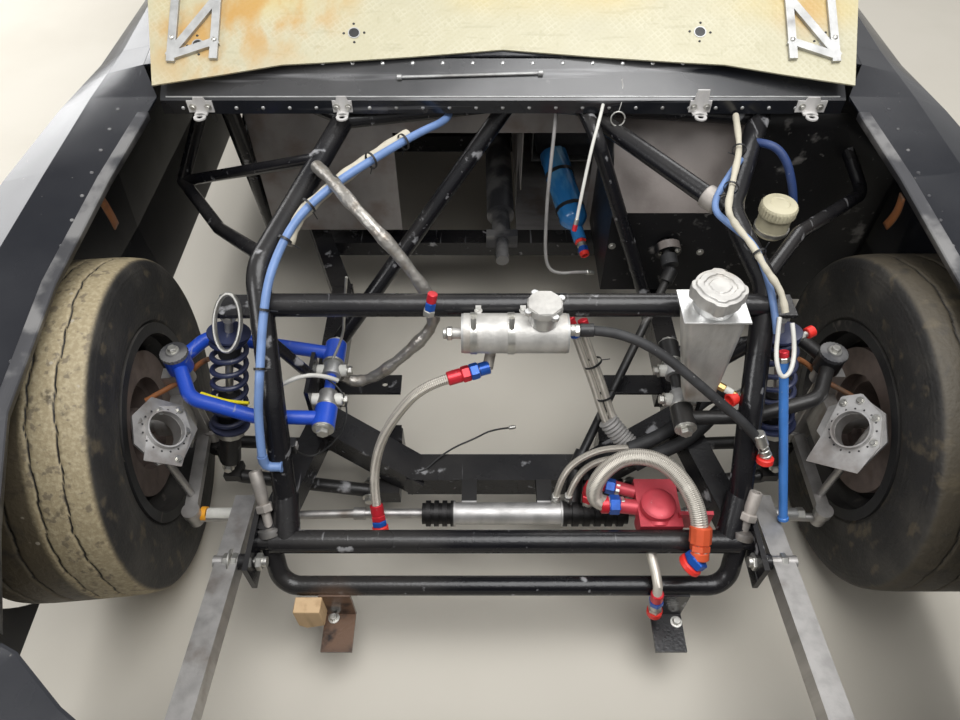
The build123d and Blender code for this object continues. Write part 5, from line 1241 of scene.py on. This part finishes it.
share = np.linspace(0, 1, 70)
sag = np.sin(share * math.pi)[:, None] * np.array([0, 0, -0.008])
sleeve = np.linspace(*fwd((222, 2, 340), (284, -46, 298)), 70) + sag
build("ribbed_sleeve", [(drawn(sleeve, 0.0205 + 0.0016 * np.sin(share * TURN * 11), 20), wire_grey)])

for name, route in (("rack_line_a", fwd((112, -128, 236), (114, -124, 290), (136, -106, 340),
        (188, -80, 348), (236, -64, 334), (262, -56, 322))),
        ("rack_line_b", fwd((138, -128, 236), (142, -122, 280), (166, -102, 318), (206, -84, 322),
        (246, -76, 316)))):
    flex(name, route, 0.014, braid)
    build(name + "_nut", stack(route[0] - (0, 0, 0.006), route[0] + (0, 0, 0.1), (zinc, 14, 10.5, 6),
        (zinc, 10, 9, 20)))


def film_bottle():
    """fluid bottle in film with two slight sets of folds, rounded at the foot; bands, neck and cap"""
    low, high = fwd((204, 575, 372), (150, 800, 450))
    axis = unit(high - low)
    long = np.linalg.norm(high - low)
    h = np.linspace(0, 1, 40)[:, None]
    a = np.linspace(0, TURN, 56, endpoint=False)[None]
    foot = np.clip(np.sin(np.clip(h * 9, 0, math.pi / 2)), 0.25, 1)
    r = (0.0365 * foot + 0.0009 * np.sin(3 * a + 9 * h) + 0.0006 * np.sin(11 * a + 21 * h))[..., None]
    side_way, rise = square_to(axis)
    spoke = np.cos(a)[..., None] * side_way + np.sin(a)[..., None] * rise
    skin = low + (h * long)[..., None] * axis + r * spoke
    made = [(lattice(skin, columns_meet=True, capped=True), film)]
    for share in (0.28, 0.72):
        made += band(black_plastic, low + axis * long * share, axis, 36, 38.5, 10, 40)
    return made + stack(low + axis * 0.006, front(220, 512, 350), (film, 34, 17, 28),
        (red_plastic, 8, 15, 6), (zinc, 12, 12, 20), (blue_anodised, 14, 13, 6),
        (red_plastic, 12, 12, 24, True))


def reservoir():
    """brake fluid reservoir with its ribbed lid and clamp"""
    base = front(560, 300, 0)
    made = lathe(cream_plastic, base, Z, 48, (28, 598), (33, 604), (33, 648), (30, 652))
    rows = ((35, 649, 0), (37, 650, 0.7), (37, 668, 0.7), (34, 672.5, 0), (20, 674, 0), (18, 672.5, 0),
        (3, 672.5, 0))
    made.append((lobed(base, rows, 96, lambda a: np.cos(32 * a)), cream_plastic))
    return made + band(zinc, base + (0, 0, 0.612), Z, 32.5, 35.5, 8, 40)


build("bottle_and_reservoir", film_bottle() + reservoir(), stands_for=["bay_bottles"])


# Foot box and brace

FOOTBOX_PIXELS = (596, 176), (612, 246), (640, 292), (700, 252), (724, 272)
CLEVIS_PIXEL, CLEVIS_EDGE_PIXELS = (708, 213), ((692, 199), (722, 232))


def footbox_bolts():
    """bolts round the steering column's flange, and those that the photograph shows on the box"""
    flange = front(389, 407, 469)
    column = unit(front(389, 385, 462) - (0.330, -0.330, 0.692))
    across, rise = square_to(column)
    made = []
    for a in np.arange(4) * TURN / 4 + 0.6:
        spot = flange + 0.0215 * (math.cos(a) * across + math.sin(a) * rise)
        made += bolted(cast("footbox", spot + column * 0.06, -column), 0.0045, 0.004)
    return made + studs("footbox", FOOTBOX_PIXELS, 0.006, 0.004)


build("footbox_bolts", footbox_bolts())
brace = unit(np.subtract((428, 236, 708), (168, 545, 743)))
clevis = lathe(stud_grey, front(428, 236, 708) - brace * 0.052, brace, 28, (21.5, 0), (23.5, 2),
    (23.5, 30), (20.5, 34))
clevis += studs("front_clip", [CLEVIS_PIXEL], 0.011, None, gold)
clevis += studs("front_clip", CLEVIS_EDGE_PIXELS, 0.006, None, zinc)
build("brace_clevis", clevis)


def ties():
    """cable ties round hoses and tubes: a thin band and its clipped tail"""
    made = []
    runs = [((-200, 380, 763), (-0.72, -0.68, 0), 15.5), ((-258, 315, 764), (-0.7, -0.7, 0), 15.5),
        ((-318, 256, 756), (-0.7, -0.7, -0.1), 15.5), ((-366, 205, 742), (-0.66, -0.7, -0.25), 15.5),
        ((-405, 140, 715), (-0.4, -0.8, -0.4), 12.5), ((-432, 14, 660), (-0.1, -0.75, -0.6), 9.5),
        ((-437, -70, 597), (0, -0.8, -0.6), 9.5), ((461, 345, 768), (-0.25, -0.95, 0), 12.5),
        ((421, 232, 762), (-0.4, -0.9, 0), 12.5), ((452, 96, 720), (0.3, -0.9, -0.2), 12.5),
        ((182, 60, 458), (0.45, -0.35, -0.8), 19), ((214, 30, 388), (0.4, -0.4, -0.8), 19)]
    for at, axis, r in runs:
        at, axis = front(*at), unit(axis)
        made += band(black_plastic, at, axis, r, r + 1.2, 4.5)
        tail = at + unit(np.cross(axis, Y)) * r / 1000
        way = unit(np.cross(axis, (0.3, 1, 0.2)))
        made.append((drawn(tail + np.linspace(0, 1, 5)[:, None] * way * 0.02, 0.0011, 6), black_plastic))
    return made


build("cable_ties", ties())


# Hood, wheels and body

HOOD_PIN_PIXELS = (198, 45), (354, 33), (700, 32), (825, 42)


def hood_rivets():
    """rivets along the stiffeners, in rows that lean with the hood"""
    up = np.array([0, math.cos(HOOD_LEAN), math.sin(HOOD_LEAN)])
    out = np.array([0, -math.sin(HOOD_LEAN), math.cos(HOOD_LEAN)])
    made = []
    for side, _ in SIDES:
        for k in range(9):
            for x in (0.585, 0.668):
                spot = np.array([side * x, -0.825, 0.850]) + up * (0.005 + 0.118 * k) + out * 0.2
                made += rivet(facing(cast("hood_stiffeners", spot, -out), out, 0.7), 0.0055, zinc)
    return made


def pin_holes():
    """pin holes in the hood, each a flat black disc of painted shade where the hole is open, with a washer
    and four small rivets
    """
    made = []
    for pixel in HOOD_PIN_PIXELS:
        at, out = seen("hood_panel", *pixel)
        across, rise = square_to(out)
        # black disc: painted shade in place of the open hole
        made += lathe(black_plastic, at, out, 28, (10.5, 0.1), (10.5, 0.6), (2, 0.7))
        made += band(dull_aluminium, at + out * 0.0006, out, 10.5, 12.5, 1.2)
        made += [(dome(at + 0.021 * way, out, 0.0028, 8), black_plastic)
            for way in (across, -across, rise, -rise)]
    return made


def wheel_face(side, centre, turn):
    """five chromed lug nuts and the dust cap on a wheel's outer face"""
    axis = np.array([side, 0, 0]) @ turn
    across, rise = square_to(axis)
    rise = rise if rise[2] > 0 else -rise
    made = []
    for a in np.arange(5) * TURN / 5:
        at = centre + axis * 0.0415 + 0.0603 * (math.sin(a) * across + math.cos(a) * rise)
        made += lathe(zinc, at, axis, 6, (12.5, -15.5), (13.5, -14), (12.5, 6), (8, 10), (2, 10.5))
    return made + lathe(dull_aluminium, centre, axis, 36, (29, 44), (30, 46), (30, 62), (27, 70), (12, 74))


def panel_rivets(side, label):
    """upright rows on the door, fender and quarter, and one row along the door's foot"""
    made = []
    for node, rows in (("door", (-0.460, 0.470)), ("fender", (-0.930,)), ("quarter", (0.540, 2.160))):
        for y in rows:
            for z in range(180, 700, 65):
                hit = cast(node + "_" + label, (side * 1.3, y, z / 1000), (-side, 0, 0))
                made += rivet(facing(hit, (side, 0, 0), 0.6), 0.005, scuffed, 8)
    for y in range(-420, 440, 80):
        made += rivet(cast("door_" + label, (side * 1.3, y / 1000, 0.16), (-side, 0, 0)), 0.005, scuffed, 8)
    return made


build("hood_rivets", hood_rivets())
build("hood_pin_holes", pin_holes())
for label, side, centre, turn in WHEELS:
    build("lug_nuts_" + label, wheel_face(side, centre, turn), "wheel_" + label)
build("body_rivets", panel_rivets(*SIDES[0]) + panel_rivets(*SIDES[1]))


# Seat pads: a crowned cushion, each ring of its section scaled about its middle


def cushion(outline, x0, x1, puff):
    """pad of one outline across a width: it swells by sin ** 0.35 of the way across, with two channels"""
    outline = np.array(outline, float)
    edges = zip(outline, np.roll(outline, -1, 0))
    dense = np.concatenate([np.linspace(p, q, 14, endpoint=False) for p, q in edges])
    for _ in range(5):
        dense = (np.roll(dense, 1, 0) + 2 * dense + np.roll(dense, -1, 0)) / 4
    middle = dense.mean(0)
    w = np.linspace(0, 1, 40)
    swell = np.clip(np.sin(math.pi * w), 0, 1) ** 0.35
    channel = 1 - 0.25 * np.exp(-((np.abs(w - 0.5) - 0.2) / 0.02) ** 2)
    scale = (0.86 + 0.14 * swell) * (1 - puff * (1 - channel))
    rows = middle + (dense - middle) * scale[:, None, None]
    x = np.repeat((x0 + (x1 - x0) * w)[:, None], len(dense), 1)
    return lattice(np.concatenate([x[..., None], rows], -1) / 1000, columns_meet=True, capped=True)


BACK_OUTLINE = [(51.8, 262), (149.6, 640), (207.1, 870), (168, 872), (100, 650), (8, 285)]
BASE_OUTLINE = [(-318, 249.2), (20, 217.3), (10, 262), (-310, 300)]
pads = build("seat_pad_covers", [(cushion(outline, 127, 533, 0.10), pad_cloth)
    for outline in (BASE_OUTLINE, BACK_OUTLINE)], level=1, stands_for=["seat_pads"])


# Floor and light

pale_floor = Finish("pale floor", (0.66, 0.62, 0.54), 0.7).patches((0.58, 0.54, 0.46), 1.5, 0.4, 0.7, 0.6,
    detail=8)
u, v = np.meshgrid(np.linspace(-6, 6, 3), np.linspace(-6, 6, 3))
floor = build("studio_floor", [(lattice(np.stack([u, v, 0 * u], -1)), pale_floor)])

world = bpy.data.worlds.new("studio")
bpy.context.scene.world = world
world.use_nodes = True
sky = world.node_tree.nodes["Background"].inputs
sky["Color"].default_value = (1, 1, 1, 1)
sky["Strength"].default_value = 0.42
AIM = np.array((0, -1.2, 0.4))
for name, spot, power, size in (("overhead", (0.5, -1.9, 3.9), 130, 2.6),
        ("side", (-3.4, -3.6, 2.8), 60, 1.6), ("far", (1.6, 2.6, 3.6), 60, 2.2),
        ("low_side", (-3.3, 1.5, 1.9), 70, 2.4)):
    lamp = bpy.data.objects.new(name, bpy.data.lights.new(name, "AREA"))
    lamp.data.energy, lamp.data.size, lamp.location = power, size, spot
    aim = unit(AIM - spot)
    lamp.rotation_euler = (math.acos(-aim[2]), 0, math.atan2(aim[0], -aim[1]) + math.pi)
    bpy.context.collection.objects.link(lamp)
